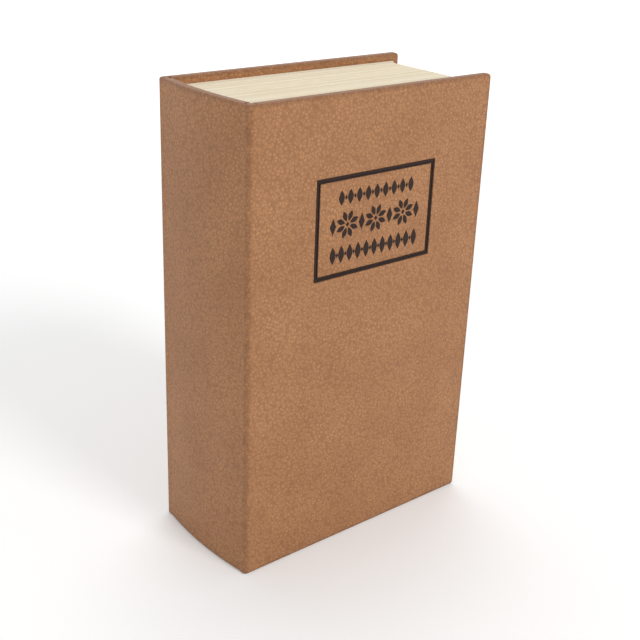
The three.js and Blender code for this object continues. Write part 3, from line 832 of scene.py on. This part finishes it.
def cover_skin(place):
    """One cover's covering, open at its outer face and where the board lies. Grooves on its inside
    mark the corners' mitres."""
    rows = []
    for inset, depth in wrap_profile():
        mitred = depth >= panel - EDGE_EASE and inset > COVER_CORNER
        drop = MITRE_DEPTH if mitred else 0
        rows.append([place((x, depth - drop * bent, z)) for x, z, bent in cover_path(inset)])
    return folded(rows)


def plate_outline(inset):
    """The title plate's outline, its inset measured from the recess's wall."""
    xs, _, zs = span("title_plate")
    return rounded_rectangle(xs, zs, PLATE_CORNER, inset - PLATE_FIT)


def make_skins():
    """The covers' covering. The front one has a recess for the title plate."""
    floor = span("title_plate")[1][1] + GLUE
    recess = levels(plate_outline, [(-EDGE_EASE, front_face), (0, front_face + EDGE_EASE), (0, floor)])
    front = joined(cover_skin(on_front), pit(recess))
    stands_for("front_covering", "front_skin", front, rims=[front_face, front_face + SKIN])
    stands_for("back_covering", "back_skin", cover_skin(on_back), rims=[back_face, back_face - SKIN])


def lining(place):
    """A cover's inner paper with the filling under it. It dips between the turned-in edges."""
    (x0, x1), _, (z0, z1) = span("front_pastedown")
    sheet = ((x0 - cover_start, x1 - cover_start), (z0 - tail, z1 - tail))
    window = ((sheet[0][0], cover_width - TURN_IN), (TURN_IN, book_height - TURN_IN))
    dip = ((sheet[0][0] + DIP_START, window[0][1]), window[1])
    loops = []
    for box, inset, y in (
        (window, INFILL_FIT, panel - SKIN),
        (window, INFILL_FIT, panel + GLUE),
        (sheet, 0, panel + GLUE),
        (sheet, 0, lined - EDGE_EASE),
        (sheet, EDGE_EASE, lined),
        (dip, -DIP_SLOPE / 2, lined),
        (dip, DIP_SLOPE / 2, lined - DIP_DEPTH),
    ):
        outline = rounded_rectangle(*box, PAPER_CORNER, inset)
        loops.append([place(p) for p in at_y(outline, y)])
    return stacked(loops)


def board_liner(place):
    """The strip of paper over a board's edge at its joint."""
    outline = rounded_rectangle((-LINER, 0), (SKIN + GLUE, panel), LINER_CORNER, steps=2)
    z0, z1 = span("front_pastedown")[2]
    points, faces = up_z(outline, z0 - tail, z1 - tail, LINER_EASE)
    return [place(p) for p in points], faces


def make_linings():
    holes = rivet_holes(back_face - lined - OVERRUN, back_face - panel + OVERRUN)
    stands_for("front_pastedown", "front_endpaper", lining(on_front))
    stands_for("back_pastedown", "back_endpaper", lining(on_back), cuts=holes)
    piece("front_board_liner", board_liner(on_front), "front_cover", "endpaper")
    piece("back_board_liner", board_liner(on_back), "book", "endpaper")


# The spine and the joints


def stations_on(centre, radius, start, sweep, steps):
    """Points along an arc, each with the direction to its centre."""
    points = [Vector(p) for p in arc(centre, radius, start, sweep, steps)]
    return [(point, (centre - point).normalized()) for point in points]


def spine_stations():
    """Points across the spine from the front to the back, each with its inward direction."""
    widest = math.asin(spine_back / spine_radius)
    return stations_on(spine_centre, spine_radius, math.pi + widest, -2 * widest, ARC_STEPS)


def joint_stations(side):
    """The same round a joint, from the spine to the cover. Side is -1 at the front and 1 at the back."""
    x, y = joint_centre
    stations = []
    for i in range(JOINT_STEPS):
        along = spine_front + i / JOINT_STEPS * (y - spine_front)
        stations.append((Vector((shoulder, along)), Vector((1, 0))))
    stations += stations_on(joint_centre, joint_radius, math.pi, QUARTER, ARC_STEPS // 2)
    for i in range(1, JOINT_STEPS + 1):
        along = x + i / JOINT_STEPS * (cover_start - x)
        stations.append((Vector((along, front_face)), Vector((0, 1))))
    return [(Vector((p.x, -side * p.y)), Vector((n.x, -side * n.y))) for p, n in stations]


def band(stations, half):
    """A half section of inset and depth pairs, mirrored from the tail to the head, along stations."""
    section = [(depth, tail + inset) for inset, depth in reversed(half)]
    section += [(depth, head - inset) for inset, depth in half]
    return stacked([[(*(point + inward * depth), z) for depth, z in section] for point, inward in stations])


def make_spine():
    stands_for("spine_covering", "spine_skin", band(spine_stations(), wrap_profile()))
    stands_for("spine_lining", "spine_liner", spine_lining())


def spine_lining():
    """Paper over the inside of the spine's board and round its two long edges."""
    stations = spine_stations()
    inner, outer = [[p + inward * depth for p, inward in stations] for depth in (lined, panel + GLUE)]
    lip = Vector((SKIN + GLUE - lined, 0))
    step = Vector((0, LINER))
    first, last = inner[0], inner[-1]
    outline = [first + lip + step, first + step] + inner[1:-1] + [last - step, last + lip - step]
    outline += [last + lip] + outer[::-1] + [first + lip]
    return through(outline, span("spine_lining")[2], at_z)


def joint_section():
    """The covering's half section at a joint, where it isn't turned in."""
    outer = [pair for pair in wrapped_edge() if pair[1] <= SKIN]
    return outer + [(outer[-1][0] / 2, SKIN)]


def roll(side):
    """The filling of a joint: full on the inside, and slim where the covering passes round it."""
    slim = joint_radius - SKIN - ROLL_FIT
    low, high = ROLL_INNER_DEGREES
    outline = []
    for i in range(ROUND_STEPS):
        degrees = 360 * i / ROUND_STEPS
        full = degrees <= high or degrees >= 360 + low
        out = Vector((math.cos(math.radians(degrees)), math.sin(math.radians(degrees))))
        x, y = joint_centre + out * (ROLL_INNER if full else slim)
        outline.append((x, -side * y))
    return through(outline, (tail + GLUE, head - GLUE), at_z)


def make_joints():
    middle_z = (tail + head) / 2
    ends = {
        "start": (shoulder * MM, spine_front * MM, middle_z * MM),
        "end": (cover_start * MM, front_face * MM, middle_z * MM),
    }
    front = band(joint_stations(-1), joint_section())
    stands_for("front_joint", "front_joint_skin", front, blended=ends)
    stands_for("back_joint", "back_joint_skin", band(joint_stations(1), joint_section()))
    for name, side in (("front_joint_roll", -1), ("back_joint_roll", 1)):
        piece(name, roll(side), "book", "covering")


# The title plate


def make_title_plate():
    """A frame of two raised rules round a field of the covering, with a stamped ornament on it."""
    _, (top, floor), _ = span("title_plate")
    gap_end = RULE_OUTER + RULE_GAP
    inner = gap_end + RULE_INNER
    profile = [(PLATE_FIT, floor)] + ridge(PLATE_FIT, RULE_OUTER, top, RULE_EASE, 1)
    profile += [(RULE_OUTER, top + RULE_GROOVE), (gap_end, top + RULE_GROOVE)]
    profile += ridge(gap_end, inner, top, RULE_EASE, 1) + [(inner, floor), (PLATE_FIT, floor)]
    stands_for("title_plate", "title_frame", drawn(plate_outline, profile, capped=False))

    level = top + FIELD_DEPTH
    slope, drop = FIELD_EDGE
    foot = inner + GLUE
    field = drawn(plate_outline, [(foot, floor), (foot, level + drop), (foot + slope, level)])
    piece("title_field", field, "front_cover", "covering")
    stamps = joined(*[stamp(outline, level) for outline in ornament()])
    piece("title_ornament", stamps, "front_cover", "plate")


def stamp(outline, level):
    """One raised mark of the ornament on the field."""
    crown = level - STAMP_HEIGHT
    small = shrunk(outline, STAMP_EASE)
    return stacked([at_y(outline, level + GLUE / 2), at_y(outline, crown + STAMP_EASE), at_y(small, crown)])


def leaf(centre, length, width, lean, steps=LEAF_STEPS):
    """A pointed leaf about its centre."""
    turn = Matrix.Rotation(lean, 2)
    points = []
    for sign in (1, -1):
        for i in range(steps):
            share = i / steps
            along = (0.5 - share) * length * sign
            off = sign * width / 2 * math.sin(math.pi * share)
            points.append(tuple(Vector(centre) + turn @ Vector((along, off))))
    return points


def lozenge(centre, width, height):
    return leaf(centre, width, height, lean=0, steps=2)


def leaf_row(centre, row):
    """Upright leaves in a row, with small lozenges between them."""
    count, pitch, height, width = row
    link_width, link_height = [pitch * share for share in LINK_SHARES]
    x, z = centre
    marks = []
    for i in range(count):
        along = x + (i - (count - 1) / 2) * pitch
        marks.append(leaf((along, z), height, width, QUARTER))
        if i < count - 1:
            marks.append(lozenge((along + pitch / 2, z), link_width, link_height))
    return marks


def rosette(centre):
    """Petals round a small lozenge."""
    marks = [lozenge(centre, FLOWER_HEART, FLOWER_HEART)]
    for i in range(PETALS):
        angle = (i + 0.5) / PETALS * math.tau
        out = Vector((math.cos(angle), math.sin(angle))) * (PETAL_START + PETAL_LENGTH / 2)
        marks.append(leaf(Vector(centre) + out, PETAL_LENGTH, PETAL_WIDTH, angle))
    return marks


def ornament():
    """Three rows of plain printer's flowers, mirrored about the plate's middle."""
    (x0, x1), _, (z0, z1) = span("title_plate")
    centre = (x0 + x1) / 2
    top, flowers, foot = [z0 + (z1 - z0) * share for share in ROW_SHARES]
    marks = leaf_row((centre, top), TOP_ROW) + leaf_row((centre, foot), FOOT_ROW)
    for step in (-1, 0, 1):
        marks += rosette((centre + step * FLOWER_PITCH, flowers))
    for step in (-1.5, -0.5, 0.5, 1.5):
        marks.append(lozenge((centre + step * FLOWER_PITCH, flowers), *FLOWER_LOZENGE))
    return marks


# The pages


def leaf_cuts():
    """For each leaf, the y where it starts, how far its edge stands back and the groove before it."""
    y0, y1 = span("pages_head")[1]
    count = int((y1 - y0) / LEAF_PITCH)
    half = LEAF_JITTER / 2
    rng = random.Random(11)
    cuts = []
    drift = 0.0
    left = 0
    for i in range(count):
        drift = LEAF_DRIFT_SHARE * drift + rng.uniform(-1, 1) * half
        back = half + max(min(drift, half), -half)
        cuts.append((y0 + (y1 - y0) * i / count, back, LEAF_GROOVE if left else BUNDLE_GROOVE))
        left = left - 1 if left else rng.randint(*BUNDLE_LEAVES)
    return cuts


def page_spine(y):
    """Where the pages end at the spine, at a place across their thickness."""
    radius = spine_centre.x - span("pages_head")[0][0]
    return spine_centre.x - math.sqrt(radius**2 - y**2)


def page_loop(y, back, seed):
    """The block's outline in x and z at one y: round three sides of the well, its cut edges uneven."""
    (_, x1), _, (well_head, z1) = span("pages_head")
    z0, well_tail = span("pages_tail")[2]
    well_fore = span("pages_fore_edge")[0][0]
    x0 = page_spine(y)
    wave = random.Random(seed)
    edge = GLUE + back

    def ripple():
        return edge + wave.uniform(0, LEAF_WAVE)

    across = int((x1 - x0) / LEAF_STEP)
    along = int((z1 - z0) / LEAF_STEP)
    loop = [(x0 + (x1 - x0) * i / across, z0 + ripple()) for i in range(across)]
    loop.append((x1 - edge, z0 + edge))
    loop += [(x1 - ripple(), z0 + (z1 - z0) * i / along) for i in range(1, along)]
    loop.append((x1 - edge, z1 - edge))
    loop += [(x1 - (x1 - x0) * i / across, z1 - ripple()) for i in range(1, across)]
    loop += [(x0, z1 - GLUE), (x0, well_head), (well_fore, well_head)]
    loop += [(well_fore, well_tail), (x0, well_tail)]
    return at_y(loop, y)


def make_pages():
    """The leaves round the well as one glued block."""
    cuts = leaf_cuts()
    last = span("pages_head")[1][1]
    ends = [y for y, _, _ in cuts[1:]] + [last]
    loops = []
    for seed, ((y, back, groove), end) in enumerate(zip(cuts, ends)):
        loops.append(page_loop(y, back + groove, seed))
        loops += [page_loop(y + (end - y) * share, back, seed) for share in LEAF_SHARES]
    loops.append(page_loop(last, 0, 0))
    nodes = ["pages_head", "pages_tail", "pages_fore_edge"]
    piece("page_block", stacked(loops), "book", "pages", nodes, crease=LEAF_CREASE)


# The steel box


def make_tray():
    """The tray as one pressed sheet with an inward rim round its mouth."""
    xs, (rim, back), zs = span("steel_tray")
    floor = back - SHEET
    under_rim = rim + SHEET
    mouth = SHEET + TRAY_RIM
    inner = BEND - SHEET
    profile = bend(0, back, BEND, 1, -1) + bend(0, rim, BEND, 1, 1)[::-1]
    profile += [(mouth - HEM_EASE, rim), (mouth, rim + HEM_EASE)]
    profile += [(mouth, under_rim - HEM_EASE), (mouth - HEM_EASE, under_rim)]
    profile += bend(SHEET, under_rim, inner, 1, 1) + bend(SHEET, floor, inner, 1, -1)[::-1]

    def outline(inset):
        return rounded_rectangle(xs, zs, max(TRAY_CORNER - inset, inner), inset)

    holes = rivet_holes(floor - OVERRUN, back + OVERRUN)
    stands_for("steel_tray", "steel_tray_pressed", drawn(outline, profile), cuts=holes)


def make_lid():
    """The lid as one pressed sheet: a raised field with the lock's hole, and a skirt on three sides."""
    (x0, x1), (crown, skirt_end), (z0, z1) = span("steel_lid")
    flat = crown + FIELD_HEIGHT
    profile = bend(0, flat, BEND, 1, 1) + ridge(0, SHEET, skirt_end, HEM_EASE, -1)
    profile += bend(SHEET, flat + SHEET, BEND - SHEET, 1, 1)[::-1]

    def path(inset):
        reach = max(TRAY_CORNER, inset)
        half = [(x0, z0 + inset)] + arc((x1 - reach, z0 + reach), reach - inset, -QUARTER, QUARTER)
        return half + [(x, z0 + z1 - z) for x, z in reversed(half)]

    def field(inset):
        us = (middle("lid_hinge_pin").x + FIELD_HINGE_MARGIN, x1 - FIELD_MARGIN)
        return rounded_rectangle(us, (z0 + FIELD_MARGIN, z1 - FIELD_MARGIN), FIELD_CORNER, inset)

    half_round = FIELD_ROUND / 2
    relief = [(-FIELD_ROUND, flat), (half_round, flat - half_round)]
    relief += [(FIELD_SLOPE - half_round, crown + half_round), (FIELD_SLOPE + FIELD_ROUND, crown)]
    inside = [(inset, y + SHEET) for inset, y in relief]
    sheet = joined(folded(levels(path, profile)), pit(levels(field, relief)), pit(levels(field, inside)))
    section = flatted(lambda share: HOUSING_RADIUS + HOUSING_FIT, HOUSING_FLAT + HOUSING_FIT)
    hole = through(section, (crown - OVERRUN, crown + SHEET + OVERRUN))
    stands_for("steel_lid", "steel_lid_pressed", sheet, rims=[flat, flat + SHEET], cuts=[hole])


def make_hinge_and_strike():
    finished("lid_hinge_leaf", HINGE_EASE)
    finished("tray_hinge_leaf", HINGE_EASE)
    finished("lock_strike", HARDWARE_EASE)
    outline = circle(middle("lid_hinge_pin"), radius_of("lid_hinge_pin"))
    pin = up_z(outline, *span("lid_hinge_pin")[2], HARDWARE_EASE)
    stands_for("lid_hinge_pin", "lid_hinge_pin_turned", pin)


def rivet_nodes():
    return [name for name in slot_of if name.startswith("tray_rivet_")]


def rivet_holes(*ends):
    """The rivets' holes, between two places in y."""
    radius = RIVET_SHANK + RIVET_FIT
    middles = [middle(node) for node in rivet_nodes()]
    return [through(circle((at.x, at.z), radius), ends) for at in middles]


def make_rivets():
    """Rivets with a domed head on the tray's floor and a set tail in the back board."""
    seat = span("steel_tray")[1][1] - SHEET - GLUE
    for node in rivet_nodes():
        crown, foot = span(node)[1]
        x, _, z = middle(node)
        tail_seat = foot - RIVET_TAIL_HEIGHT
        profile = dome(radius_of(node), seat, crown)[::-1]
        profile += [(RIVET_SHANK, seat), (RIVET_SHANK, tail_seat)]
        profile += [(RIVET_TAIL, tail_seat), (RIVET_TAIL, foot)]
        stands_for(node, node + "_domed", drawn(lambda radius: circle((x, z), radius), profile))


# The lock


def lock_circle(radius):
    return circle((lock_x, lock_z), radius, TURN_STEPS)


def flatted(radius_at, flat):
    """Points round the lock's axis, at a radius for each share of a turn, cut off at two flats."""
    loop = []
    for i in range(TURN_STEPS):
        share = i / TURN_STEPS
        x, z = [radius_at(share) * way(math.tau * share) for way in (math.cos, math.sin)]
        loop.append((lock_x + max(-flat, min(flat, x)), lock_z + z))
    return loop


def about_lock(half_width, half_height, corner):
    """A rounded rectangle about the lock's axis, or a circle if its corner is as large as its halves."""
    us, vs = (lock_x - half_width, lock_x + half_width), (lock_z - half_height, lock_z + half_height)
    return rounded_rectangle(us, vs, corner, steps=TURN_STEPS // 4 - 1)


def make_housing():
    """The lock's bezel and its threaded body with two flats."""
    face, end = span("lock_housing")[1]
    bezel = radius_of("lock_housing")
    bore = radius_of("lock_plug") + BORE_GAP
    lip = [(bore, face + BEZEL_STEP), (bore + BEZEL_STEP, face), (bezel - BEZEL_SLOPE, face)]
    lip += bend(bezel, face + BEZEL_EDGE / 2, BEZEL_EDGE, -1, 1)
    lip += [(bezel, lock_seat - BEZEL_STEP / 2), (bezel - BEZEL_STEP / 2, lock_seat)]
    lip += [(HOUSING_RADIUS, lock_seat)]
    count = int((end - lock_seat) / THREAD_PITCH * THREAD_STEPS)
    thread = [threaded(lock_seat + (end - lock_seat) * i / count) for i in range(1, count)]
    thread.append(at_y(flatted(lambda share: HOUSING_RADIUS - THREAD_DEPTH, HOUSING_FLAT), end))
    inside = levels(lock_circle, [(bore, end), (bore, face + BEZEL_STEP)])
    loops = levels(lock_circle, lip) + thread + inside
    stands_for("lock_housing", "lock_housing_threaded", stacked(loops, capped=False))


def threaded(y):
    """The housing's threaded section at one depth."""

    def radius_at(share):
        phase = (y / THREAD_PITCH + share) % 1
        return HOUSING_RADIUS - THREAD_DEPTH * abs(2 * phase - 1)

    return at_y(flatted(radius_at, HOUSING_FLAT), y)


def make_nut():
    """A hexagon nut with its corners cut back at both faces."""
    front, back = span("lock_nut")[1]
    half = NUT_ACROSS / 2
    sixth = math.tau / 6
    corner = half / math.cos(sixth / 2)
    hole = HOUSING_RADIUS + BORE_GAP

    def hexagon(limit):
        def radius_at(share):
            off_corner = (math.tau * share + sixth / 2) % sixth - sixth / 2
            return min(half / math.cos(sixth / 2 - abs(off_corner)), limit)

        return flatted(radius_at, corner)

    sides = [(NUT_FACE_RADIUS, front), (corner, front + NUT_CHAMFER)]
    sides += [(corner, back - NUT_CHAMFER), (NUT_FACE_RADIUS, back)]
    bore = [(hole + NUT_CHAMFER, back), (hole, back - NUT_CHAMFER), (hole, front)]
    loops = levels(hexagon, sides) + levels(lock_circle, bore)
    stands_for("lock_nut", "lock_nut_hex", stacked(loops[-1:] + loops, capped=False))


def make_plug():
    """The plug: a keyway in its dished face, a slot for each wafer, and the cam's square seat with a
    tapped hole at its end."""
    face, end = span("lock_plug")[1]
    radius = radius_of("lock_plug")
    shoulder_y = span("lock_cam")[1][0] - BORE_GAP
    dish = radius - PLUG_RIM
    rim = [(radius, shoulder_y)] + bend(radius, face, PLUG_EDGE, -1, 1)[::-1]
    rim += [(dish, face), (dish - PLUG_DISH, face + PLUG_DISH)]
    loops = [at_y(about_lock(PLUG_SEAT, PLUG_SEAT, SEAT_CORNER), y) for y in (end, shoulder_y)]
    loops += levels(lambda r: about_lock(r, r, r), rim)
    for ease, depth in ((KEYWAY_EASE, PLUG_DISH), (0, PLUG_DISH + KEYWAY_EASE), (0, KEYWAY_DEPTH)):
        outline = about_lock(KEYWAY_WIDTH / 2 + ease, KEYWAY_HEIGHT / 2 + ease, KEYWAY_CORNER)
        loops.append(at_y(outline, face + depth))
    cuts = [wafer_slot(name) for name in slot_of if name.startswith("lock_wafer_")]
    cuts.append(through(lock_circle(SCREW_RADIUS + SCREW_FIT), (end - TAPPED_DEPTH, end + OVERRUN)))
    stands_for("lock_plug", "lock_plug_keyed", stacked(loops), cuts=cuts)


def wafer_slot(node):
    """The slot across the plug for one wafer."""
    (x0, x1), (y0, y1), _ = span(node)
    reach = radius_of("lock_plug") + OVERRUN
    top, foot = lock_z + reach, lock_z - reach
    left, right = x0 - WAFER_FIT, x1 + WAFER_FIT
    outline = [(right, top), (left, top), (left, foot), (right, foot)]
    return through(outline, (y0 - WAFER_FIT, y1 + WAFER_FIT))


def make_cam():
    """The cam: a round hub with a square hole, tapering to a round tip."""
    y0, y1 = span("lock_cam")[1]

    def outline(inset):
        foot = (lock_x, lock_z - CAM_REACH + CAM_TIP)
        hub = arc((lock_x, lock_z), CAM_HUB - inset, 0, math.pi, CAM_STEPS)
        return hub + arc(foot, CAM_TIP - inset, math.pi, math.pi, CAM_STEPS)

    sides = [(HARDWARE_EASE, y0), (0, y0 + HARDWARE_EASE), (0, y1 - HARDWARE_EASE), (HARDWARE_EASE, y1)]
    hole = through(about_lock(CAM_SEAT, CAM_SEAT, SEAT_CORNER), (y0 - OVERRUN, y1 + OVERRUN))
    stands_for("lock_cam", "lock_cam_eased", drawn(outline, sides), cuts=[hole])


def make_washer():
    y0, y1 = span("cam_washer")[1]
    radius, bore = radius_of("cam_washer"), SCREW_RADIUS + SCREW_FIT
    profile = [(bore, y0)] + bend(radius, y0, WASHER_EASE, -1, 1)
    profile += bend(radius, y1, WASHER_EASE, -1, -1)[::-1] + [(bore, y1), (bore, y0)]
    stands_for("cam_washer", "cam_washer_eased", drawn(lock_circle, profile, capped=False))


def make_screw():
    """A round-headed screw with a cross recess."""
    foot, crown = span("cam_screw")[1]
    radius = radius_of("cam_screw")
    seat = span("cam_washer")[1][1] + GLUE
    profile = [(SCREW_RADIUS - HARDWARE_EASE, foot), (SCREW_RADIUS, foot + HARDWARE_EASE)]
    profile += [(SCREW_RADIUS, seat), (radius, seat)] + dome(radius, seat + HEAD_BRIM, crown)
    profile[-1] = (profile[-1][0], crown)
    recess = drawn(cross, [(1, crown + OVERRUN), (1, crown), (CROSS_TAPER_SHARE, crown - CROSS_DEPTH)])
    stands_for("cam_screw", "cam_screw_round_head", drawn(lock_circle, profile), cuts=[recess])


def cross(share):
    """The outline of the screw's cross recess, made smaller by a share."""
    arm, half = CROSS_ARM * share, CROSS_HALF * share
    quarter = [(arm, half), (half, half), (half, arm)]
    loop = []
    for _ in range(4):
        loop += [(lock_x + u, lock_z + v) for u, v in quarter]
        quarter = [(-v, u) for u, v in quarter]
    return loop


# The keys and their ring


def key_outline(inset):
    """The key's outline, moved in by an inset: its bow, its cut blade to the tip, and back."""
    long, wide = KEY_BOW_LONG - inset, KEY_BOW_WIDE - inset
    neck, blade = KEY_NECK - inset, KEY_BLADE - inset
    neck_end, tip = KEY_NECK_END - inset, KEY_TIP - inset
    opening = math.asin(neck / wide)
    bow = arc((0, 0), 1, opening, math.tau - 2 * opening, BOW_STEPS)
    edge = [(neck_end - KEY_NECK_CORNER, -neck), (neck_end, -neck + KEY_NECK_CORNER)]
    edge += [(neck_end, -blade - KEY_NECK_FILLET), (neck_end + KEY_NECK_FILLET, -blade)]
    for i, share in enumerate(KEY_CUT_SHARES):
        depth = KEY_CUT_DEPTH * share
        slope = depth * KEY_CUT_SLOPE_SHARE
        start = KEY_CUT_START + i * KEY_CUT_PITCH
        end = start + KEY_CUT_WIDTH
        edge += [(start - slope, -blade), (start, depth - blade), (end, depth - blade), (end + slope, -blade)]
    nose_length, nose = KEY_NOSE
    edge += [(KEY_TIP - KEY_TIP_LENGTH, -blade), (tip - nose_length, inset / 2 - nose)]
    mirrored = [(u, -v) for u, v in reversed(edge)]
    return [(KEY_BOW_CENTRE + long * u, wide * v) for u, v in bow] + edge + [(tip, 0)] + mirrored


def bow_panel(inset):
    """The outline of the bow's sunk panel."""
    long, wide = KEY_BOW_LONG - KEY_RIM - inset, KEY_BOW_WIDE - KEY_RIM - inset
    return [(KEY_BOW_CENTRE + long * u, wide * v) for u, v in circle((0, 0), 1)]


def blade_groove(inset):
    start, end = KEY_GROOVE_ENDS
    us, vs = (KEY_NECK_END - start, KEY_TIP - end), (-KEY_GROOVE, KEY_GROOVE)
    return rounded_rectangle(us, vs, KEY_GROOVE - inset, inset, BEND_STEPS)


def both_faces(pairs):
    """Loops from pairs of an outline and its depth, and the same loops mirrored to the other face."""
    mirrored = [at_z(outline, KEY_THICKNESS - z) for outline, z in reversed(pairs)]
    return [at_z(outline, z) for outline, z in pairs] + mirrored


def key_mesh(name):
    """A flat key in its own frame: a bow with a sunk panel and a round hole, and a grooved blade."""
    blank = both_faces([(key_outline(KEY_EASE), 0), (key_outline(0), KEY_EASE)])
    brim, hole = circle((0, 0), KEY_HOLE + KEY_EASE), circle((0, 0), KEY_HOLE)
    bow = [(bow_panel(0), -OVERRUN), (bow_panel(0), 0), (bow_panel(KEY_PANEL), KEY_PANEL)]
    bow += [(brim, KEY_PANEL), (hole, KEY_PANEL + KEY_EASE)]
    groove = [(blade_groove(0), -OVERRUN), (blade_groove(0), 0)]
    groove += [(blade_groove(KEY_GROOVE_SLOPE), KEY_GROOVE_DEPTH)]
    grooves = both_faces(groove)
    half = len(groove)
    tools = [stacked(both_faces(bow)), stacked(grooves[:half]), stacked(grooves[half:])]
    return cut(mesh_of(name, stacked(blank)), tools)


def make_keys():
    """The keys hang side by side on the ring near its foot, and their blades lie on the tray's wall."""
    foot = middle("key_ring") - RING_RADIUS * Vector((0, math.sin(RING_LEAN), math.cos(RING_LEAN)))
    wire = 2 * RING_LAYER
    tilt = math.asin((2 * wire + KEY_GAP) / KEY_TIP)
    for i, fan in enumerate(KEY_FANS):
        low = wire + KEY_GAP + i * (KEY_THICKNESS + KEY_GAP)
        along = (low + KEY_THICKNESS / 2) / math.cos(RING_LEAN)
        across = math.sqrt(RING_RADIUS**2 - (RING_RADIUS - along) ** 2)
        node = f"key_{i + 1}"
        name = node + "_cut"
        mesh = key_mesh(name)
        mesh.transform(Matrix.Rotation(tilt, 4, "Y") @ Matrix.Rotation(fan, 4, "Z"))
        seat = foot + Vector((across, along * math.sin(RING_LEAN), low))
        mesh.transform(Matrix.Translation(seat * MM))
        placed(name, mesh, "book", slot_of[node], [node])


def make_ring():
    """A split ring. Its wire changes layers where only one turn passes."""
    turn = Matrix.Rotation(QUARTER - RING_LEAN, 3, "X")
    centre = middle("key_ring")
    section = circle((0, 0), RING_WIRE, WIRE_STEPS)
    count = int(RING_STEPS * RING_TURNS)
    crossing = RING_TURNS - 1
    loops = []
    for i in range(count + 1):
        turns = RING_TURNS * i / count
        share = min(max((turns - crossing) / (1 - crossing), 0), 1)
        rise = 2 * share**2 * (3 - 2 * share) - 1
        angle = math.tau * turns + RING_START
        radial = Vector((math.cos(angle), math.sin(angle), 0))
        core = radial * RING_RADIUS + Vector((0, 0, rise * RING_LAYER))
        loops.append([tuple(centre + turn @ (core + radial * u + Vector((0, 0, v)))) for u, v in section])
    stands_for("key_ring", "key_ring_split", stacked(loops))


# The floor, the light and the camera


def make_floor():
    """A pale floor that the camera and reflections see fade to white, with the book's shadow kept."""
    mesh = bpy.data.meshes.new("floor")
    rim = at_z(circle((0, 0), FLOOR_RADIUS), 0)
    mesh.from_pydata(rim, [], [tuple(range(len(rim)))])
    paint = Paint("pale_floor", Roughness=0.9, Emission_Color=(1, 1, 1, 1))
    cloud = paint.noise(size=1250, detail=2)
    paint.coloured((238, 238, 238), (cloud, 0, 1, 1, (240, 240, 240)))
    away = paint.node("VectorMath", {0: paint.place}, out=1, operation="LENGTH")
    lift = paint.ranged(away, FLOOR_NEAR, FLOOR_FAR, FLOOR_LIFT_SHARE, 1)
    paint.drive("Emission Strength", paint.maths("MULTIPLY", paint.seen(), lift))
    mesh.materials.append(paint.material)
    floor = linked("floor", mesh)


def make_world():
    world = bpy.data.worlds.new("studio")
    bpy.context.scene.world = world
    sky = Nodes(world, "Background", Color=(1, 1, 1, 1))
    sky.drive("Strength", sky.ranged(sky.seen(), 0, 1, SKY_SHARE, 1))


def make_lamps():
    for name, (place, size, watts) in LAMPS.items():
        light = bpy.data.lights.new(name, "AREA")
        light.shape = "DISK"
        light.size = size
        light.energy = watts
        lamp = linked(name, light)
        lamp.location = place
        lamp.rotation_mode = "QUATERNION"
        lamp.rotation_quaternion = (Vector(LAMP_AIM) - Vector(place)).to_track_quat("-Z", "Y")


def make_camera():
    data = bpy.data.cameras.new("camera")
    data.lens = LENS
    data.clip_start = NEAR_CLIP * MM
    data.clip_end = FAR_CLIP * MM
    turn = Matrix.Rotation(AZIMUTH, 3, "Z") @ Matrix.Rotation(QUARTER - ELEVATION, 3, "X")
    turn @= Matrix.Rotation(ROLL, 3, "Z")
    eye = Vector((0, 0, (tail + head) / 2)) + turn @ Vector((0, -AIM_DROP, EYE_DISTANCE))
    camera = linked("camera", data)
    camera.matrix_world = Matrix.Translation(eye * MM) @ turn.to_4x4()
    bpy.context.scene.camera = camera


bpy.context.scene.view_settings.view_transform = "Standard"
make_camera()
make_floor()
make_world()
make_lamps()
dress_nodes()
make_skins()
make_linings()
make_spine()
make_joints()
make_title_plate()
make_pages()
make_tray()
make_lid()
make_hinge_and_strike()
make_rivets()
make_housing()
make_nut()
make_plug()
make_cam()
make_washer()
make_screw()
make_keys()
make_ring()
